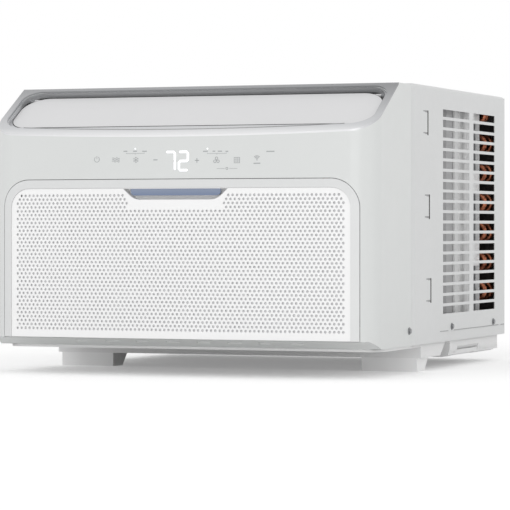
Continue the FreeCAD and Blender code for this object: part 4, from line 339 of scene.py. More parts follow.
finishes = {
    "cabinet_paint": powderCoat("cabinetPowderCoat", (222, 223, 223)),
    "screw_steel": drawnSteel("zincScrews", (158, 159, 161), 0.4, (1.0, 1.0, 1.0)),
    "trim_satin": satinTrimPaintedReflection("satinTrimPaintedReflection"),
    "duct_foam": foamBlock("ductFoam", (92, 92, 94)),
    "galvanised": galvanisedSheet("galvanisedSheet", (186, 188, 190)),
    "motor_steel": drawnSteel("motorSteel", (178, 178, 180), 0.38, (1.0, 0.06, 1.0)),
    "fin_aluminium": finAluminium("finAluminium", (226, 228, 230)),
    "fin_shadow": finAluminium("finShadow", (142, 144, 146)),
    "copper": copperTube("copperTube", (208, 132, 100), (84, 44, 34)),
    "black_enamel": sprayedEnamel("blackEnamel", (30, 30, 32)),
    "rubber": softRubber("mountRubber", (38, 38, 38)),
    "board_green": circuitBoard("circuitBoard", (24, 92, 52), (58, 128, 70)),
    "blue_lens": smokedLens("smokedLens"),
    "filter_net": wovenNet("filterNet", (238, 238, 240), 1.1),
    # dark foam, also used as painted shade in the curtain slots and in the condenser's gaps
    "seal_foam": foamBlock("darkFoamAndPaintedShade", (52, 48, 48)),
    "lit_segment": litSegment("litSegment"),
}
finishes.update((slot, mouldedPlastic(*settings)) for slot, settings in plastics.items())
slotOf = {entry["node"]: entry["material_slot"] for entry in frame["record"]["subparts"]}
for nodeName, node in nodes.items():
    node.data.materials.clear()
    node.data.materials.append(finishes[slotOf[nodeName]])
print("finishes made:", len(finishes))


def newObject(name, data):
    item = bpy.data.objects.new(name, data)
    bpy.context.scene.collection.objects.link(item)
    return item


def addPiece(name, mesh, slot, body):
    piece = newObject(name, mesh)
    mesh.materials.append(finishes[slot])
    slot in slotOf.values()
    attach(piece, body)
    return piece


def storeMesh(mesh, name):
    data = bpy.data.meshes.new(name)
    mesh.to_mesh(data)
    mesh.free()
    return data


def finishPiece(mesh, name, slot, body="chassis", smooth=False):
    bmesh.ops.recalc_face_normals(mesh, faces=mesh.faces)
    for face in mesh.faces:
        face.smooth = smooth and len(face.verts) <= 4
    return addPiece(name, storeMesh(mesh, name), slot, body)


def thicken(piece, thickness, offset=-1.0):
    wall = piece.modifiers.new("thickness", "SOLIDIFY")
    wall.thickness = thickness
    wall.offset = offset


bow = {"front": -279.75 * mm, "sagitta": 6.5 * mm, "halfChord": 213.5 * mm}
bowRadius = (bow["halfChord"] ** 2 + bow["sagitta"] ** 2) / (2 * bow["sagitta"])


def bowY(x, inset=0.0):
    # front surface of the bowed face at x, moved back by an inset
    return bow["front"] + bowRadius - math.sqrt((bowRadius - inset) ** 2 - x * x)


grille = {
    "halfWidth": 217.1 * mm, "low": 44.4 * mm, "high": 222.8 * mm, "corner": 23.6 * mm, "recess": 0.8 * mm,
    "thickness": 1.6 * mm, "holePitch": 5.42 * mm, "holeSize": 3.3 * mm, "holeSides": 12, "holeShare": 0.51,
    "sideMargin": 4.2 * mm, "topMargin": 3.0 * mm, "lowMargin": 5.0 * mm, "pocketMargin": 9.0 * mm,
    "outlineStep": 12 * mm, "cornerSteps": 10, "pocketStep": 8 * mm,
    "pocketTop": 67 * mm, "pocketBottom": 53 * mm, "pocketLow": 209.2 * mm, "pocketHigh": 222.2 * mm,
    "pocketDepth": 13.4 * mm, "pocketWall": 1.2 * mm, "pocketRound": 8 * mm, "pocketClimb": 0.7,
    "pocketSteps": 4, "scrimGap": 0.4 * mm, "scrimStep": 4 * mm, "scrimGauge": 0.2 * mm,
    "scrimMargins": (1.5 * mm, 1.5 * mm, 2 * mm), "scrimPocket": 2.5 * mm,
}
lattice = {"pitch": grille["holePitch"], "rows": grille["holePitch"] * math.sqrt(3) / 2,
           "middle": (grille["low"] + grille["lowMargin"] + grille["high"] - grille["topMargin"]) / 2}


def grilleOutline():
    # anticlockwise from the lower left, with two rounded upper corners
    g = grille
    half, high, corner = g["halfWidth"], g["high"], g["corner"]
    points = [(-half, g["low"]), (half, g["low"])]
    for centreX, start in ((half - corner, 0.0), (-half + corner, 90.0)):
        for step in range(g["cornerSteps"] + 1):
            angle = math.radians(start + 90 * step / g["cornerSteps"])
            points.append((centreX + corner * math.cos(angle), high - corner + corner * math.sin(angle)))
    return points


def insideOutline(x, z, side, top, low):
    # whether a point is on the panel, clear of its edges by three margins
    g = grille
    half = g["halfWidth"] - side
    high = g["high"] - top
    if abs(x) > half or z < g["low"] + low or z > high:
        return False
    corner = g["corner"] - side
    beyondX = abs(x) - (half - corner)
    beyondZ = z - (high - corner)
    return beyondX <= 0 or beyondZ <= 0 or math.hypot(beyondX, beyondZ) <= corner


def nearPocket(x, z, margin):
    # the pocket's sloping end and its floor, grown by a margin
    g = grille
    if z < g["pocketLow"] - margin:
        return False
    rise = max(0.0, (z - g["pocketLow"]) / (g["pocketHigh"] - g["pocketLow"]))
    return abs(x) < g["pocketBottom"] + (g["pocketTop"] - g["pocketBottom"]) * rise + margin


def cellCentre(row, column):
    x = (column + (row % 2) / 2) * lattice["pitch"]
    return x, lattice["middle"] + row * lattice["rows"]


def nearbyCells(x, z):
    # distance and key of the closest cell in each of three rows, nearest first
    middle = round((z - lattice["middle"]) / lattice["rows"])
    found = []
    for row in (middle - 1, middle, middle + 1):
        column = round(x / lattice["pitch"] - (row % 2) / 2)
        centreX, centreZ = cellCentre(row, column)
        found.append((math.hypot(x - centreX, z - centreZ), (row, column)))
    return sorted(found)


def holeCells():
    # the cells whose hole keeps clear of the panel's edges and the pocket
    g = grille
    margins = (g["sideMargin"], g["topMargin"], g["lowMargin"])
    radius = g["holeSize"] / 2
    rows = int((g["high"] - g["low"]) / lattice["rows"] / 2) + 1
    columns = int(g["halfWidth"] / lattice["pitch"]) + 1
    cells = {}
    for row in range(-rows, rows + 1):
        for column in range(-columns, columns + 1):
            x, z = cellCentre(row, column)
            clear = insideOutline(abs(x) + radius, z + radius, *margins)
            clear = clear and insideOutline(x, z - radius, *margins)
            if clear and not nearPocket(x, z, g["pocketMargin"]):
                cells[(row, column)] = (x, z)
    return cells


def perforatedPanel():
    # a hexagon with a round hole for each cell, and a plain margin round them all
    g = grille
    cells = holeCells()
    cellRadius = lattice["pitch"] / math.sqrt(3)
    holeRadius = g["holeSize"] / 2
    mesh = bmesh.new()
    corners = {}

    def corner(x, z):
        key = (round(x * 1e6), round(z * 1e6))
        if key not in corners:
            corners[key] = mesh.verts.new((x, 0, z))
        return corners[key]

    sides = g["holeSides"]
    for x, z in cells.values():
        ring = []
        rim = []
        for side in range(sides):
            angle = math.radians(360 * side / sides - 90)
            across, up = math.cos(angle), math.sin(angle)
            ring.append(mesh.verts.new((x + holeRadius * across, 0, z + holeRadius * up)))
            reach = cellRadius if side % 2 == 0 else cellRadius * math.cos(math.pi / 6)
            rim.append(corner(x + reach * across, z + reach * up))
        for side in range(sides):
            after = (side + 1) % sides
            mesh.faces.new((rim[side], rim[after], ring[after], ring[side]))
    addMargin(mesh, cells)
    bmesh.ops.remove_doubles(mesh, verts=mesh.verts, dist=1e-6)
    for vertex in mesh.verts:
        vertex.co.y = bowY(vertex.co.x, g["recess"])
    bmesh.ops.recalc_face_normals(mesh, faces=mesh.faces)
    if sum(face.normal.y for face in mesh.faces) > 0:
        bmesh.ops.reverse_faces(mesh, faces=mesh.faces)
    panel = addPiece("perforated_panel", storeMesh(mesh, "perforated_panel"), "grille_plastic", "grille")
    thicken(panel, g["thickness"])
    print("panel holes:", len(cells))
    return panel


def pocketLoop():
    # outline of the finger pocket, with rounded lower corners
    g = grille
    bottom, low, top, high = g["pocketBottom"], g["pocketLow"], g["pocketTop"], g["pocketHigh"]
    lean = (top - bottom) / (high - low)
    reach, climb = g["pocketRound"], g["pocketClimb"]
    bend = ((bottom - reach, low), (bottom, low), (bottom + lean * reach * climb, low + reach * climb))
    right = []
    for step in range(g["pocketSteps"] + 1):
        share = step / g["pocketSteps"]
        weights = ((1 - share) ** 2, 2 * share * (1 - share), share ** 2)
        right.append(tuple(sum(w * p[i] for w, p in zip(weights, bend)) for i in range(2)))
    right.append((top, high))
    return [(-x, z) for x, z in right[-2::-1]] + right + [(-top, high)]


def divided(loop, step):
    # a closed loop of points no further apart than a step
    points = []
    for (x0, z0), (x1, z1) in zip(loop, loop[1:] + loop[:1]):
        count = max(1, math.ceil(math.hypot(x1 - x0, z1 - z0) / step))
        points += [(x0 + (x1 - x0) * i / count, z0 + (z1 - z0) * i / count) for i in range(count)]
    return points


def insideLoop(x, z, loop):
    inside = False
    for (x0, z0), (x1, z1) in zip(loop, loop[1:] + loop[:1]):
        if (z0 > z) != (z1 > z) and x < x0 + (x1 - x0) * (z - z0) / (z1 - z0):
            inside = not inside
    return inside


def addMargin(mesh, cells):
    # the plain border between the holes, the outline and the pocket
    g = grille
    outline = divided(grilleOutline(), g["outlineStep"])
    pocket = divided(pocketLoop(), g["pocketStep"])
    points = []
    index = {}

    def onHole(edge):
        middle = (edge.verts[0].co + edge.verts[1].co) / 2
        limit = g["holeSize"] * g["holeShare"]
        return any(key in cells and away < limit for away, key in nearbyCells(middle.x, middle.z))

    def put(x, z):
        key = (round(x * 1e7), round(z * 1e7))
        if key not in index:
            index[key] = len(points)
            points.append(Vector((x, z)))
        return index[key]

    rim = [edge for edge in mesh.edges if len(edge.link_faces) == 1 and not onHole(edge)]
    edges = [tuple(put(v.co.x, v.co.z) for v in edge.verts) for edge in rim]
    for loop in (outline, pocket):
        ids = [put(x, z) for x, z in loop]
        edges += list(zip(ids, ids[1:] + ids[:1]))
    places, _, faces, *_ = delaunay_2d_cdt(points, edges, [], 0, 1e-7)
    corners = [mesh.verts.new((p.x, 0, p.y)) for p in places]
    for face in faces:
        x = sum(places[i].x for i in face) / len(face)
        z = sum(places[i].y for i in face) / len(face)
        plain = insideLoop(x, z, outline) and not insideLoop(x, z, pocket)
        if plain and nearbyCells(x, z)[0][1] not in cells:
            mesh.faces.new([corners[i] for i in face])
    bmesh.ops.delete(mesh, geom=[v for v in corners if not v.link_faces], context="VERTS")


def pocketCup():
    # walls and back of the finger pocket, behind the panel
    g = grille
    loop = divided(pocketLoop(), g["pocketStep"])
    mesh = bmesh.new()
    start = g["recess"] + g["thickness"] / 2
    front = [mesh.verts.new((x, bowY(x, start), z)) for x, z in loop]
    back = [mesh.verts.new((x, bow["front"] + g["pocketDepth"], z)) for x, z in loop]
    for i in range(len(loop)):
        after = (i + 1) % len(loop)
        mesh.faces.new((front[i], front[after], back[after], back[i]))
    mesh.faces.new(back)
    cup = finishPiece(mesh, "pocket_cup", "grille_plastic", "grille")
    thicken(cup, g["pocketWall"], 1.0)


def panelScrim():
    # fine white net held just behind the perforations, following the bow of the panel
    g = grille
    step = g["scrimStep"]
    inset = g["recess"] + g["thickness"] + g["scrimGap"]
    mesh = bmesh.new()
    corners = {}

    def corner(x, z):
        if (x, z) not in corners:
            corners[(x, z)] = mesh.verts.new((x, bowY(x, inset), z))
        return corners[(x, z)]

    wide = int(g["halfWidth"] / step) + 1
    tall = int((g["high"] - g["low"]) / step) + 1
    for column in range(-wide, wide):
        for row in range(tall):
            ends = [(column, row), (column + 1, row), (column + 1, row + 1), (column, row + 1)]
            places = [(c * step, g["low"] + r * step) for c, r in ends]
            if all(insideOutline(x, z, *g["scrimMargins"]) and not nearPocket(x, z, g["scrimPocket"])
                   for x, z in places):
                mesh.faces.new([corner(x, z) for x, z in places])
    scrim = finishPiece(mesh, "panel_scrim", "filter_net", "grille", smooth=True)
    thicken(scrim, g["scrimGauge"])


panel = perforatedPanel()
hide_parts("grille_panel")
pocketCup()
panelScrim()
print("intake grille made")


def tubeAlong(mesh, path, radius, sides):
    # rings square to a path, joined by quads and closed at both ends
    rings = []
    startAcross = Vector((0.2, 0.3, 0.93))
    turns = [2 * math.pi * side / sides for side in range(sides)]
    across = None
    for i, point in enumerate(path):
        along = (path[min(i + 1, len(path) - 1)] - path[max(i - 1, 0)]).normalized()
        if across is None:
            across = along.cross(startAcross).normalized()
        across = (across - along * across.dot(along)).normalized()
        upward = across.cross(along)
        spokes = [across * math.cos(turn) + upward * math.sin(turn) for turn in turns]
        rings.append([mesh.verts.new(point + spoke * radius) for spoke in spokes])
    for first, second in zip(rings, rings[1:]):
        for side in range(sides):
            after = (side + 1) % sides
            mesh.faces.new((first[side], first[after], second[after], second[side]))
    mesh.faces.new(rings[0])
    mesh.faces.new(rings[-1])


def addBlock(mesh, low, high, bevel=0.0):
    # a block between two corners, its edges broken by a small bevel
    made = bmesh.ops.create_cube(mesh, size=1.0)["verts"]
    low, high = Vector(low), Vector(high)
    for vertex in made:
        vertex.co = Vector([low[i] + (high[i] - low[i]) * (vertex.co[i] + 0.5) for i in range(3)])
    if bevel:
        edges = list({edge for vertex in made for edge in vertex.link_edges})
        bmesh.ops.bevel(mesh, geom=edges, offset=bevel, segments=2, profile=0.6, affect="EDGES")


def addPair(mesh, low, high, bevel):
    # one block on the right and its mirror on the left
    for side in (-1, 1):
        near, far = sorted((side * low[0], side * high[0]))
        addBlock(mesh, (near, *low[1:]), (far, *high[1:]), bevel)


flapShade = {"radius": 0.6 * mm, "offset": 0.35 * mm, "sides": 8, "slope": (0.0, -0.523, 0.853),
            "facing": 0.98, "skin": 0.2 * mm, "merge": 1e-5,
            "ledgeY": -268.9 * mm, "ledgeZ": 292.75 * mm, "ledgeHalf": 206 * mm, "ledgeRadius": 0.5 * mm,
            "bend": 2.855, "rise": 0.613, "steps": 24}


def flapOutline():
    # corner points of the flap's outer face, in order round its edge
    outward = Vector(flapShade["slope"])
    mesh = bmesh.new()
    mesh.from_mesh(nodes["outlet_flap"].data)
    mesh.transform(nodes["outlet_flap"].matrix_world)
    bmesh.ops.remove_doubles(mesh, verts=mesh.verts, dist=flapShade["merge"])
    heights = {face: face.calc_center_median().dot(outward) for face in mesh.faces
               if face.normal.dot(outward) > flapShade["facing"]}
    lowest = max(heights.values()) - flapShade["skin"]
    outer = [face for face, height in heights.items() if height > lowest]
    links = {}
    for face in outer:
        for edge in face.edges:
            if sum(other in outer for other in edge.link_faces) == 1:
                for one, other in (edge.verts[:], edge.verts[:][::-1]):
                    links.setdefault(one, []).append(other)
    start = min(links, key=lambda vertex: (round(vertex.co.z, 5), vertex.co.x))
    loop, current = [start], links[start][0]
    while current != start:
        loop.append(current)
        current = next((other for other in links[current] if other not in loop[-2:]), start)
    points = [vertex.co.copy() for vertex in loop]
    mesh.free()
    return points


def flapShadeLines():
    # painted shade: a dark line round the flap's gap, and a grey painted shadow line along the sill before it
    f = flapShade
    points = flapOutline()
    middle = sum(points, Vector()) / len(points)
    outward = Vector(f["slope"])
    path = []
    for i, point in enumerate(points):
        along = (points[(i + 1) % len(points)] - points[i - 1]).normalized()
        aside = along.cross(outward).normalized()
        if aside.dot(point - middle) < 0:
            aside = -aside
        path.append(point + aside * f["offset"] - outward * f["radius"])
    mesh = bmesh.new()
    tubeAlong(mesh, path + path[:1], f["radius"], f["sides"])
    finishPiece(mesh, "flap_gap_shade", "rubber", "flap", smooth=True)
    sill = []
    for step in range(f["steps"] + 1):
        x = f["ledgeHalf"] * (2 * step / f["steps"] - 1)
        y = x * x / (2 * f["bend"])
        sill.append(Vector((x, f["ledgeY"] + y, f["ledgeZ"] + y * f["rise"])))
    mesh = bmesh.new()
    tubeAlong(mesh, sill, f["ledgeRadius"], f["sides"])
    finishPiece(mesh, "sill_shadow_line", "pressed_edge", smooth=True)


# painted shade round the flap and along the sill
flapShadeLines()
print("flap lip made")

coil = {"pitch": 19.35 * mm, "firstTube": 0.47, "tubeRadius": 4.0 * mm, "shares": (0.28, 0.72), "sides": 12,
        "bendReach": 23.0 * mm, "steps": 8, "stagger": 3 * mm, "plate": 1.2 * mm, "buried": 2 * mm,
        "phases": ((-1, 0.5), (1, 1.5)), "core": (0.6 * mm, 1.3 * mm, 1 * mm), "tubeInset": 1 * mm,
        "hairpinRise": 9.2 * mm, "hairpinGap": 10.5 * mm, "hairpinEnds": (2 * mm, -12 * mm),
        "finPitch": 1.9 * mm, "finGauge": 0.16 * mm, "ripple": 0.5 * mm, "ripples": 8}


def settleOrder(parts, place):
    # solidify leaves its parts in an order that changes between runs, so they are put in order of place
    rank = {part: number for number, part in enumerate(sorted(parts, key=place))}
    parts.sort(key=rank.get)


def rippledFins(low, high):
    # thin plates across the whole coil, each folded into small waves
    mesh = bmesh.new()
    gauge = coil["finGauge"]
    count = int((high.x - low.x - gauge) / coil["finPitch"])
    gap = (high.x - low.x - gauge) / count
    for number in range(count + 1):
        x = low.x + gauge / 2 + gap * number
        strips = []
        for step in range(coil["ripples"] + 1):
            y = low.y + (high.y - low.y) * step / coil["ripples"]
            side = coil["ripple"] * (step % 2) * (1 if number < count else -1)
            strips.append([mesh.verts.new((x + side, y, z)) for z in (low.z, high.z)])
        for first, second in zip(strips, strips[1:]):
            mesh.faces.new((first[0], second[0], second[1], first[1]))
    bmesh.ops.solidify(mesh, geom=mesh.faces[:], thickness=gauge)
    settleOrder(mesh.verts, lambda vertex: vertex.co[:])
    settleOrder(mesh.faces, lambda face: face.calc_center_median()[:])
    return mesh


def finPack(node, name):
    # the fins, a plain core that keeps light out and the tubes that run through them
    low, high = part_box(node)
    pack = finishPiece(rippledFins(low, high), name, "fin_aluminium")
    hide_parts(node)
    core = bmesh.new()
    inset = Vector(coil["core"])
    addBlock(core, low + inset, high - inset)
    finishPiece(core, name + "_core", "fin_shadow")
    tubes = bmesh.new()
    rows = int((high.z - low.z) / coil["pitch"] - coil["firstTube"]) + 1
    for share in coil["shares"]:
        y = low.y + (high.y - low.y) * share
        for row in range(rows):
            z = low.z + coil["pitch"] * (row + coil["firstTube"])
            ends = [Vector((x, y, z)) for x in (low.x + coil["tubeInset"], high.x - coil["tubeInset"])]
            tubeAlong(tubes, ends, coil["tubeRadius"], coil["sides"])
    finishPiece(tubes, name + "_tubes", "copper", smooth=True)


def halfTurn(mesh, side, ends, centre, y, middle):
    # one tube from inside the coil, round a half turn outside it and back
    radius = coil["pitch"] / 2
    path = [Vector((side * ends[0], y, middle - radius))]
    for step in range(coil["steps"] + 1):
        turn = math.pi * (step / coil["steps"] - 0.5)
        x = side * (centre + radius * math.cos(turn))
        path.append(Vector((x, y, middle + radius * math.sin(turn))))
    path.append(Vector((side * ends[1], y, middle + radius)))
    tubeAlong(mesh, path, coil["tubeRadius"], coil["sides"])


def returnBends(finNode, bendNode, name, bends, hairpin=False):
    # bends outside both end plates, one column for each row of tubes
    low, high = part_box(finNode)
    mesh = bmesh.new()
    radius = coil["pitch"] / 2
    plate = high.x + coil["plate"]
    centre = plate + coil["bendReach"] - coil["tubeRadius"] - radius
    columns = [low.y + (high.y - low.y) * share for share in coil["shares"]]
    inside = plate - coil["buried"]
    for side, phase in coil["phases"]:
        for y, push in zip(columns, (0, coil["stagger"])):
            for number in range(bends):
                middle = low.z + coil["pitch"] * (2 * number + coil["firstTube"] + phase)
                if middle + radius <= high.z:
                    halfTurn(mesh, side, (inside, inside), centre + push, y, middle)
    if hairpin:
        ends = [high.x + end for end in coil["hairpinEnds"]]
        for y in (columns[0], columns[0] + coil["hairpinGap"]):
            halfTurn(mesh, 1, ends, centre, y, high.z + coil["hairpinRise"])
    bent = finishPiece(mesh, name, "copper", smooth=True)
    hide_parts(bendNode)


finPack("condenser_fins", "condenser_fin_pack")
finPack("evaporator_fins", "evaporator_fin_pack")
returnBends("condenser_fins", "condenser_bends", "condenser_return_bends", 7, hairpin=True)
returnBends("evaporator_fins", "evaporator_bends", "evaporator_return_bends", 4)
print("coils made")

seals = {"inside": 245.2 * mm, "foam": 4 * mm, "plate": 1.2 * mm, "skin": 1.5 * mm, "start": 2 * mm,
         "clear": 0.1 * mm, "over": 0.2 * mm, "topStart": 238 * mm, "topEnd": 254 * mm, "topHigh": 348.6 * mm,
         "rimTop": 60.6 * mm, "sideHigh": 346 * mm, "bevel": 0.4 * mm, "topBevel": 0.8 * mm}


def coilSeals():
    # dark foam that closes the gap between the condenser and the cabinet; its near-black, and the dark skin
    # on each end plate, are also painted shade for the inside of the cabinet
    s = seals
    low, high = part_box("condenser_fins")
    outside = high.x + s["plate"]
    rear = high.y - s["plate"]
    mesh = bmesh.new()
    addPair(mesh, (outside, low.y + s["start"], s["rimTop"]),
            (outside + s["skin"], rear - s["clear"], high.z), s["bevel"])
    addPair(mesh, (outside + s["over"], rear - s["foam"], s["rimTop"]),
            (s["inside"], rear - s["clear"], s["sideHigh"]), s["bevel"])
    reach = s["inside"] - s["start"]
    addBlock(mesh, (-reach, s["topStart"], high.z + s["over"]),
             (reach, s["topEnd"], s["topHigh"]), s["topBevel"])
    finishPiece(mesh, "condenser_foam_and_painted_shade", "seal_foam")


edging = {"inner": 215.3 * mm, "middle": 226.2 * mm, "outer": 231.2 * mm, "bottom": 61 * mm, "top": 345 * mm,
          "shadeStripInner": 223.4 * mm, "shadeStripOuter": 224.4 * mm, "shadeStripStart": 24 * mm, "shadeStripEnd": 6.5 * mm,
          "gauge": 1.2 * mm, "clipDepth": 39 * mm, "bevel": 0.2 * mm,
          "clips": ((312 * mm, 345 * mm), (221.5 * mm, 247.5 * mm), (126 * mm, 157 * mm))}


def coilEdging():
    # edging along the condenser's end plates, with spacer clips, and before it a dark strip that is painted
    # shade for the gap's shadow
    low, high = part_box("condenser_fins")
    e = edging
    clips = [(e["shadeStripOuter"], e["outer"], -e["clipDepth"], 0.0, z0, z1) for z0, z1 in e["clips"]]
    clips.insert(0, (e["middle"], e["outer"], 0.0, e["gauge"], e["bottom"], e["top"]))
    edge = [(e["inner"], e["middle"], 0.0, e["gauge"], e["bottom"], high.z)]
    # painted shade: a dark strip where the gap before the edging falls in shadow
    foam = [(e["shadeStripInner"], e["shadeStripOuter"], -e["shadeStripStart"], -e["shadeStripEnd"], e["bottom"], e["top"])]
    for name, slot, spans in (
        ("condenser_edging", "galvanised", edge),
        ("condenser_clips", "clip_plastic", clips),
        ("condenser_shade_strip", "seal_foam", foam),
    ):
        mesh = bmesh.new()
        for x0, x1, y0, y1, z0, z1 in spans:
            addPair(mesh, (x0, low.y + y0, z0), (x1, low.y + y1, z1), e["bevel"])
        finishPiece(mesh, name, slot)


shroudRib = {"inner": 232.2 * mm, "outer": 234.2 * mm, "start": 84 * mm, "end": 145 * mm, "bottom": 62 * mm,
             "top": 332 * mm, "ribs": 4, "ribWidth": 5 * mm, "ribRise": 0.6 * mm, "ribRoot": 0.2 * mm,
             "bevel": 0.3 * mm}


def shroudStiffener():
    # ribbed pale stiffener on each outer side of the fan shroud
    r = shroudRib
    mesh = bmesh.new()
    spans = [(r["inner"], r["outer"], r["start"], r["end"])]
    gap = (r["end"] - r["start"] - r["ribWidth"]) / (r["ribs"] - 1)
    for number in range(r["ribs"]):
        y = r["start"] + gap * number
        spans.append((r["outer"] - r["ribRoot"], r["outer"] + r["ribRise"], y, y + r["ribWidth"]))
    for x0, x1, y0, y1 in spans:
        addPair(mesh, (x0, y0, r["bottom"]), (x1, y1, r["top"]), r["bevel"])
    finishPiece(mesh, "shroud_stiffener", "pan_plastic")


coilSeals()
coilEdging()
shroudStiffener()

curtain = {"count": 3, "back": -66.25 * mm, "lean": 6 * mm, "leg": 12 * mm, "high": 319 * mm,
           "pitch": 102.5 * mm, "height": 29 * mm, "cut": 2.4 * mm, "inside": 245.5 * mm,
           "flush": 246.36 * mm, "sunk": 0.1 * mm, "proud": 246.6 * mm, "lip": 1.2 * mm, "fold": 19 * mm,
           "legShadeHeight": 1.5 * mm, "bevel": 0.05 * mm}


def curtainSlotShade():
    # painted shade: dark blocks in the upright of each lanced slot with a dark lip just proud of the sheet,
    # grey blocks in its two legs with grey runs along them
    c = curtain
    slotShade, legShade = bmesh.new(), bmesh.new()
    inside, flush, proud = c["inside"], c["flush"], c["proud"]
    surface = flush - c["sunk"]
    legShadeLow, legShadeHigh = c["legShadeHeight"] / 2, c["legShadeHeight"] * 1.5
    for number in range(c["count"]):
        back = c["back"] + c["lean"] * number
        front = back - c["cut"]
        high = c["high"] - c["pitch"] * number
        low = high - c["height"]
        addPair(slotShade, (inside, front, low), (flush, back, high), c["bevel"])
        addPair(slotShade, (surface, front, low - c["lip"]), (proud, back + c["lip"], high), c["bevel"])
        for z in (low, high - c["cut"]):
            addPair(legShade, (inside, back - c["leg"], z), (flush, front, z + c["cut"]), c["bevel"])
            addPair(legShade, (surface, back - c["fold"], z + legShadeLow), (proud, front, z + legShadeHigh), c["bevel"])
    finishPiece(slotShade, "curtain_slot_shade", "seal_foam")
    finishPiece(legShade, "curtain_slot_leg_shade", "pressed_edge")


sideFold = {"outer": 246.58 * mm, "inner": 246.3 * mm, "low": 46.7 * mm, "height": 0.9 * mm,
            "bevel": 0.05 * mm, "runs": ((-17 * mm, 18 * mm), (41 * mm, 245 * mm), (256 * mm, 272 * mm))}


def sideFoldLines():
    # shadow line of the fold low on each side, broken round the screws
    s = sideFold
    mesh = bmesh.new()
    for start, end in s["runs"]:
        addPair(mesh, (s["inner"], start, s["low"]), (s["outer"], end, s["low"] + s["height"]), s["bevel"])
    finishPiece(mesh, "side_fold_lines", "pressed_edge")


sideFoldLines()
curtainSlotShade()
print("seals made")

display = {
    "proud": 0.1 * mm, "depth": 0.35 * mm, "stroke": 2.6 * mm, "half": 5.7 * mm, "rise": 10.8 * mm,
    "gap": 0.35 * mm, "tip": 0.35, "digitZ": 254.7 * mm, "digits": ((-5.3 * mm, "abc"), (11.3 * mm, "abged")),
    "dot": 0.95 * mm, "dots": ((-50.7 * mm, 269.7 * mm), (41.8 * mm, 268.9 * mm)), "dotSides": 16,
}


def addPlate(mesh, outline):
    # a thin plate on the bowed face, from an outline in (x, z)
    depth = Vector((0, display["depth"], 0))
    front = [mesh.verts.new((x, bowY(x) - display["proud"], z)) for x, z in outline]
    back = [mesh.verts.new(vertex.co + depth) for vertex in front]
    mesh.faces.new(front)
    mesh.faces.new(back[::-1])
    for i in range(len(front)):
        after = (i + 1) % len(front)
        mesh.faces.new((front[i], back[i], back[after], front[after]))


def addStroke(mesh, points, width, closed=False):
    # a line of even width through points in (x, z), as one plate for each run
    after = points[1:] + (points[:1] if closed else [])
    for (x0, z0), (x1, z1) in zip(points, after):
        length = math.hypot(x1 - x0, z1 - z0)
        ax, az = (x1 - x0) / length * width / 2, (z1 - z0) / length * width / 2
        tip = display["tip"]
        x0, z0, x1, z1 = x0 - ax * tip, z0 - az * tip, x1 + ax * tip, z1 + az * tip
        addPlate(mesh, [(x0 + az, z0 - ax), (x1 + az, z1 - ax), (x1 - az, z1 + ax), (x0 - az, z0 + ax)])


def arcLine(x, z, radius, start, end, steps):
    turns = [math.radians(start + (end - start) * i / steps) for i in range(steps + 1)]
    return [(x + radius * math.cos(a), z + radius * math.sin(a)) for a in turns]


def roundDot(x, z, radius, sides):
    return arcLine(x, z, radius, 0, 360, sides)[:-1]


def segmentOutline(x, z, name):
    # one bar of a seven-bar digit, with pointed and slightly blunted ends
    half, rise, stroke, gap = display["half"], display["rise"], display["stroke"] / 2, display["gap"]
    ends = {"a": ((-half, rise), (half, rise)), "g": ((-half, 0), (half, 0)),
            "d": ((-half, -rise), (half, -rise)), "b": ((half, 0), (half, rise)),
            "c": ((half, -rise), (half, 0)), "e": ((-half, -rise), (-half, 0))}
    (x0, z0), (x1, z1) = ends[name]
    blunt = stroke * display["tip"]
    level = z0 == z1
    start, end = (x0 + gap, x1 - gap) if level else (z0 + gap, z1 - gap)
    shoulder = stroke - blunt
    shape = [(start, -blunt), (start + shoulder, -stroke), (end - shoulder, -stroke), (end, -blunt),
             (end, blunt), (end - shoulder, stroke), (start + shoulder, stroke), (start, blunt)]
    if level:
        return [(x + along, z + z0 + across) for along, across in shape]
    return [(x + x0 + across, z + along) for along, across in shape]


def litDisplay():
    mesh = bmesh.new()
    for x, bars in display["digits"]:
        for name in bars:
            addPlate(mesh, segmentOutline(x, display["digitZ"], name))
    for x, z in display["dots"]:
        addPlate(mesh, roundDot(x, z, display["dot"], display["dotSides"]))
    finishPiece(mesh, "lit_digits", "lit_segment")


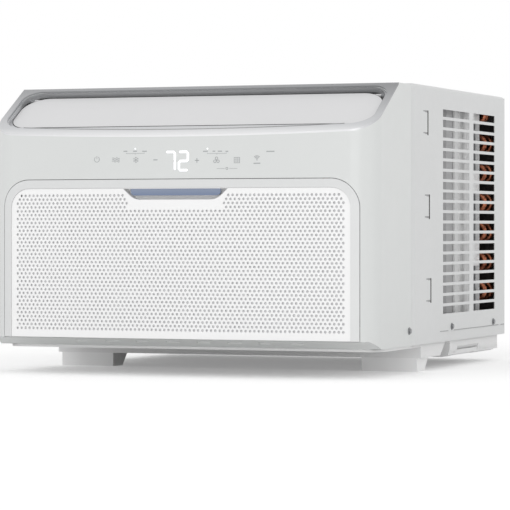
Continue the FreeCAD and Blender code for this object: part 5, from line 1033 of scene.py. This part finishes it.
# places and sizes of the touch symbols in millimetres; a bar is a middle, a height and a width
marks = {
    "line": 0.55, "thin": 0.44, "thinner": 0.385, "bold": 0.95, "barHeight": 1.05,
    "power": {"x": -101.2, "z": 257.5, "radius": 3.3, "arc": (125, 415, 22), "stem": (0.6, 4.0)},
    "swing": {"x": -76.1, "z": 256.7, "rows": (-1.9, 0.0, 1.9), "step": 0.8, "steps": 12, "swell": 0.75},
    "flake": {"x": -49.9, "z": 256.5, "radius": 3.4, "fork": 0.62, "twig": 1.3, "lean": 38},
    "fan": {"x": 53.2, "z": 255.2, "hub": 0.8, "orbit": 2.35, "radius": 1.55, "arc": (-150, 170, 14)},
    "filter": {"x": 78.8, "z": 255.2, "half": 3.4, "rise": 3.2, "grid": 1.1},
    "wireless": {"x": 103.7, "z": 255.3, "dot": 0.7, "radii": (2.0, 3.4, 4.8), "arc": (45, 135, 8)},
    "signs": (((-27.2, 256.3), (-22.0, 256.3)), ((26.0, 255.2), (31.0, 255.2)),
              ((28.5, 252.7), (28.5, 257.7))),
    "bars": ((-63.6, 266.9, 4.6), (-50.9, 266.8, 4.6), (-38.7, 266.7, 5.6), (39.3, 265.9, 5.6),
             (50.0, 265.9, 3.0), (57.6, 265.8, 5.0), (66.3, 265.6, 3.0), (103.7, 251.3, 8.0),
             (120.4, 265.1, 9.5)),
    "brackets": ((-62.6, -39.0, 264.1), (41.8, 65.7, 263.2)), "bracketEnd": 0.9, "bracketStem": 1.3,
    "ring": (66.3, 245.5, 1.3), "dashes": ((53.6, 63.4), (69.2, 79.4)), "smallSides": 12,
}


def swingMark(m):
    # three waves
    half = m["step"] * m["steps"] / 2
    return [[(m["x"] + i * m["step"] - half, m["z"] + shift + m["swell"] * math.sin(i * math.pi / 3))
             for i in range(m["steps"] + 1)] for shift in m["rows"]]


def flakeMark(m):
    # three crossed lines, and the twigs in pairs near their ends
    lines, twigs = [], []
    turns = (90, 150, 210)
    for turn in turns:
        across, up = [m["radius"] * wave(math.radians(turn)) for wave in (math.cos, math.sin)]
        lines.append([(m["x"] - across, m["z"] - up), (m["x"] + across, m["z"] + up)])
        for end in (-1, 1):
            tipX, tipZ = m["x"] + across * m["fork"] * end, m["z"] + up * m["fork"] * end
            for lean in (-m["lean"], m["lean"]):
                a = math.atan2(up * end, across * end) + math.radians(lean)
                twigs.append([(tipX, tipZ), (tipX + m["twig"] * math.cos(a), tipZ + m["twig"] * math.sin(a))])
    return lines, twigs


def fanMark(m):
    # three open loops round a hub
    start, end, steps = m["arc"]
    loops = []
    turns = (90, 210, 330)
    for turn in turns:
        x = m["x"] + m["orbit"] * math.cos(math.radians(turn))
        z = m["z"] + m["orbit"] * math.sin(math.radians(turn))
        loops.append(arcLine(x, z, m["radius"], turn + start, turn + end, steps))
    return loops


def filterMark(m):
    # a box and the grid in it
    left, right, low, high = m["x"] - m["half"], m["x"] + m["half"], m["z"] - m["rise"], m["z"] + m["rise"]
    grid = []
    for shift in (-m["grid"], m["grid"]):
        grid.append([(m["x"] + shift, low), (m["x"] + shift, high)])
        grid.append([(left, m["z"] + shift), (right, m["z"] + shift)])
    return [(left, low), (right, low), (right, high), (left, high)], grid


def bracketMarks():
    # the lines that tie two groups of bars to one symbol
    found = []
    for x0, x1, z in marks["brackets"]:
        top = z + marks["bracketEnd"]
        found.append([(x0, top), (x0, z), (x1, z), (x1, top)])
        found.append([((x0 + x1) / 2, z), ((x0 + x1) / 2, z - marks["bracketStem"])])
    return found


def printedMarks():
    # touch symbols: power, swing, mode, minus, plus, fan, filter, wireless and their level bars
    mesh = bmesh.new()
    power, fan, wireless = marks["power"], marks["fan"], marks["wireless"]
    box, grid = filterMark(marks["filter"])
    flake, twigs = flakeMark(marks["flake"])
    ringX, ringZ, ringRadius = marks["ring"]
    ring = roundDot(ringX, ringZ, ringRadius, marks["smallSides"])
    bars = [[(x - width / 2, z), (x + width / 2, z)] for x, z, width in marks["bars"]]
    lines = [arcLine(power["x"], power["z"], power["radius"], *power["arc"]),
             [(power["x"], power["z"] + rise) for rise in power["stem"]]]
    lines += swingMark(marks["swing"]) + flake + fanMark(fan)
    lines += [arcLine(wireless["x"], wireless["z"], radius, *wireless["arc"]) for radius in wireless["radii"]]
    dashes = [[(x0, ringZ), (x1, ringZ)] for x0, x1 in marks["dashes"]]
    for strokes, width, closed in (
        (lines, "line", False), (twigs + grid, "thin", False), (bracketMarks() + dashes, "thinner", False),
        (bars, "barHeight", False), (marks["signs"], "bold", False), ([box, ring], "line", True),
    ):
        for points in strokes:
            addStroke(mesh, [(x * mm, z * mm) for x, z in points], marks[width] * mm, closed)
    for spot, radius in ((fan, fan["hub"]), (wireless, wireless["dot"])):
        addPlate(mesh, roundDot(spot["x"] * mm, spot["z"] * mm, radius * mm, marks["smallSides"]))
    finishPiece(mesh, "printed_symbols", "printed_ink")


litDisplay()
printedMarks()
print("display made")

studio = {
    "lens": 195.5, "sensor": 36.0, "place": (1.262, -3.302, 0.178), "turn": 21.0, "shift": -0.057,
    "clipEnd": 50, "floor": 6.0, "floorTones": ((0.9, 0.9, 0.9, 1.0), (0.92, 0.92, 0.92, 1.0)),
    "floorLift": 0.25, "worldStrength": 0.83, "shownStrength": 1.0,
}
# place, aim, energy and size
lamps = {
    "keyLamp": ((-1.6, -2.6, 2.2), (0, 0, 0.2), 4.0, (2.4, 2.4)),
    "lowLamp": ((0.9, -3.4, 0.12), (0.0, -0.1, 0.03), 15.0, (2.6, 0.2)),
    "sideLamp": ((2.8, -0.6, 1.0), (0.25, 0, 0.2), 2.0, (1.6, 1.6)),
}


def addCamera():
    view = bpy.data.cameras.new("studioCamera")
    view.lens = studio["lens"]
    view.sensor_width = studio["sensor"]
    view.shift_y = studio["shift"]
    view.clip_end = studio["clipEnd"]
    camera = newObject("studioCamera", view)
    camera.location = studio["place"]
    camera.rotation_euler = (math.radians(90), 0, math.radians(studio["turn"]))
    bpy.context.scene.camera = camera


def addLamp(name, place, aim, energy, size):
    lamp = bpy.data.lights.new(name, "AREA")
    lamp.shape = "RECTANGLE"
    lamp.size, lamp.size_y = size
    lamp.energy = energy
    holder = newObject(name, lamp)
    holder.location = place
    holder.rotation_euler = (Vector(aim) - Vector(place)).to_track_quat("-Z", "Y").to_euler()


def addWorld():
    # even white light, full white where it is seen directly, in a reflection or through glass
    sky = Finish("studioWorld", "worlds")
    bpy.context.scene.world = sky.owner
    kinds = ("Is Camera Ray", "Is Glossy Ray", "Is Transmission Ray")
    camera, glossy, through = [sky.node("ShaderNodeLightPath", out=kind) for kind in kinds]
    seen = camera.math("MAXIMUM", glossy).math("MAXIMUM", through)
    lit, shown = [
        sky.node("ShaderNodeBackground", None, {"Color": (1, 1, 1, 1), "Strength": studio[key]})
        for key in ("worldStrength", "shownStrength")
    ]
    sky.output(sky.node("ShaderNodeMixShader", None, {0: seen, 1: lit, 2: shown}), "World")


def addFloor():
    finish = Finish("studioFloor")
    rays = finish.node("ShaderNodeLightPath", out="Is Camera Ray")
    tone = finish.blend(finish.noise(3.0), *studio["floorTones"])
    plain = finish.node("ShaderNodeBsdfDiffuse", None, {"Color": tone}, "BSDF")
    light = {"Color": (1, 1, 1, 1), "Strength": studio["floorLift"]}
    lift = finish.node("ShaderNodeEmission", None, light, "Emission")
    both = finish.node("ShaderNodeAddShader", None, {0: plain, 1: lift}, "Shader")
    finish.output(finish.node("ShaderNodeMixShader", None, {0: rays, 1: plain, 2: both}, "Shader"))
    half = studio["floor"]
    mesh = bpy.data.meshes.new("studioFloor")
    corners = [(-half, -half, 0), (half, -half, 0), (half, half, 0), (-half, half, 0)]
    mesh.from_pydata(corners, [], [(0, 1, 2, 3)])
    mesh.update()
    mesh.materials.append(finish.owner)
    floor = newObject("studioFloor", mesh)


addCamera()
addWorld()
addFloor()
for name, settings in lamps.items():
    addLamp(name, *settings)
bpy.context.scene.view_settings.view_transform = "Standard"
print("studio made")
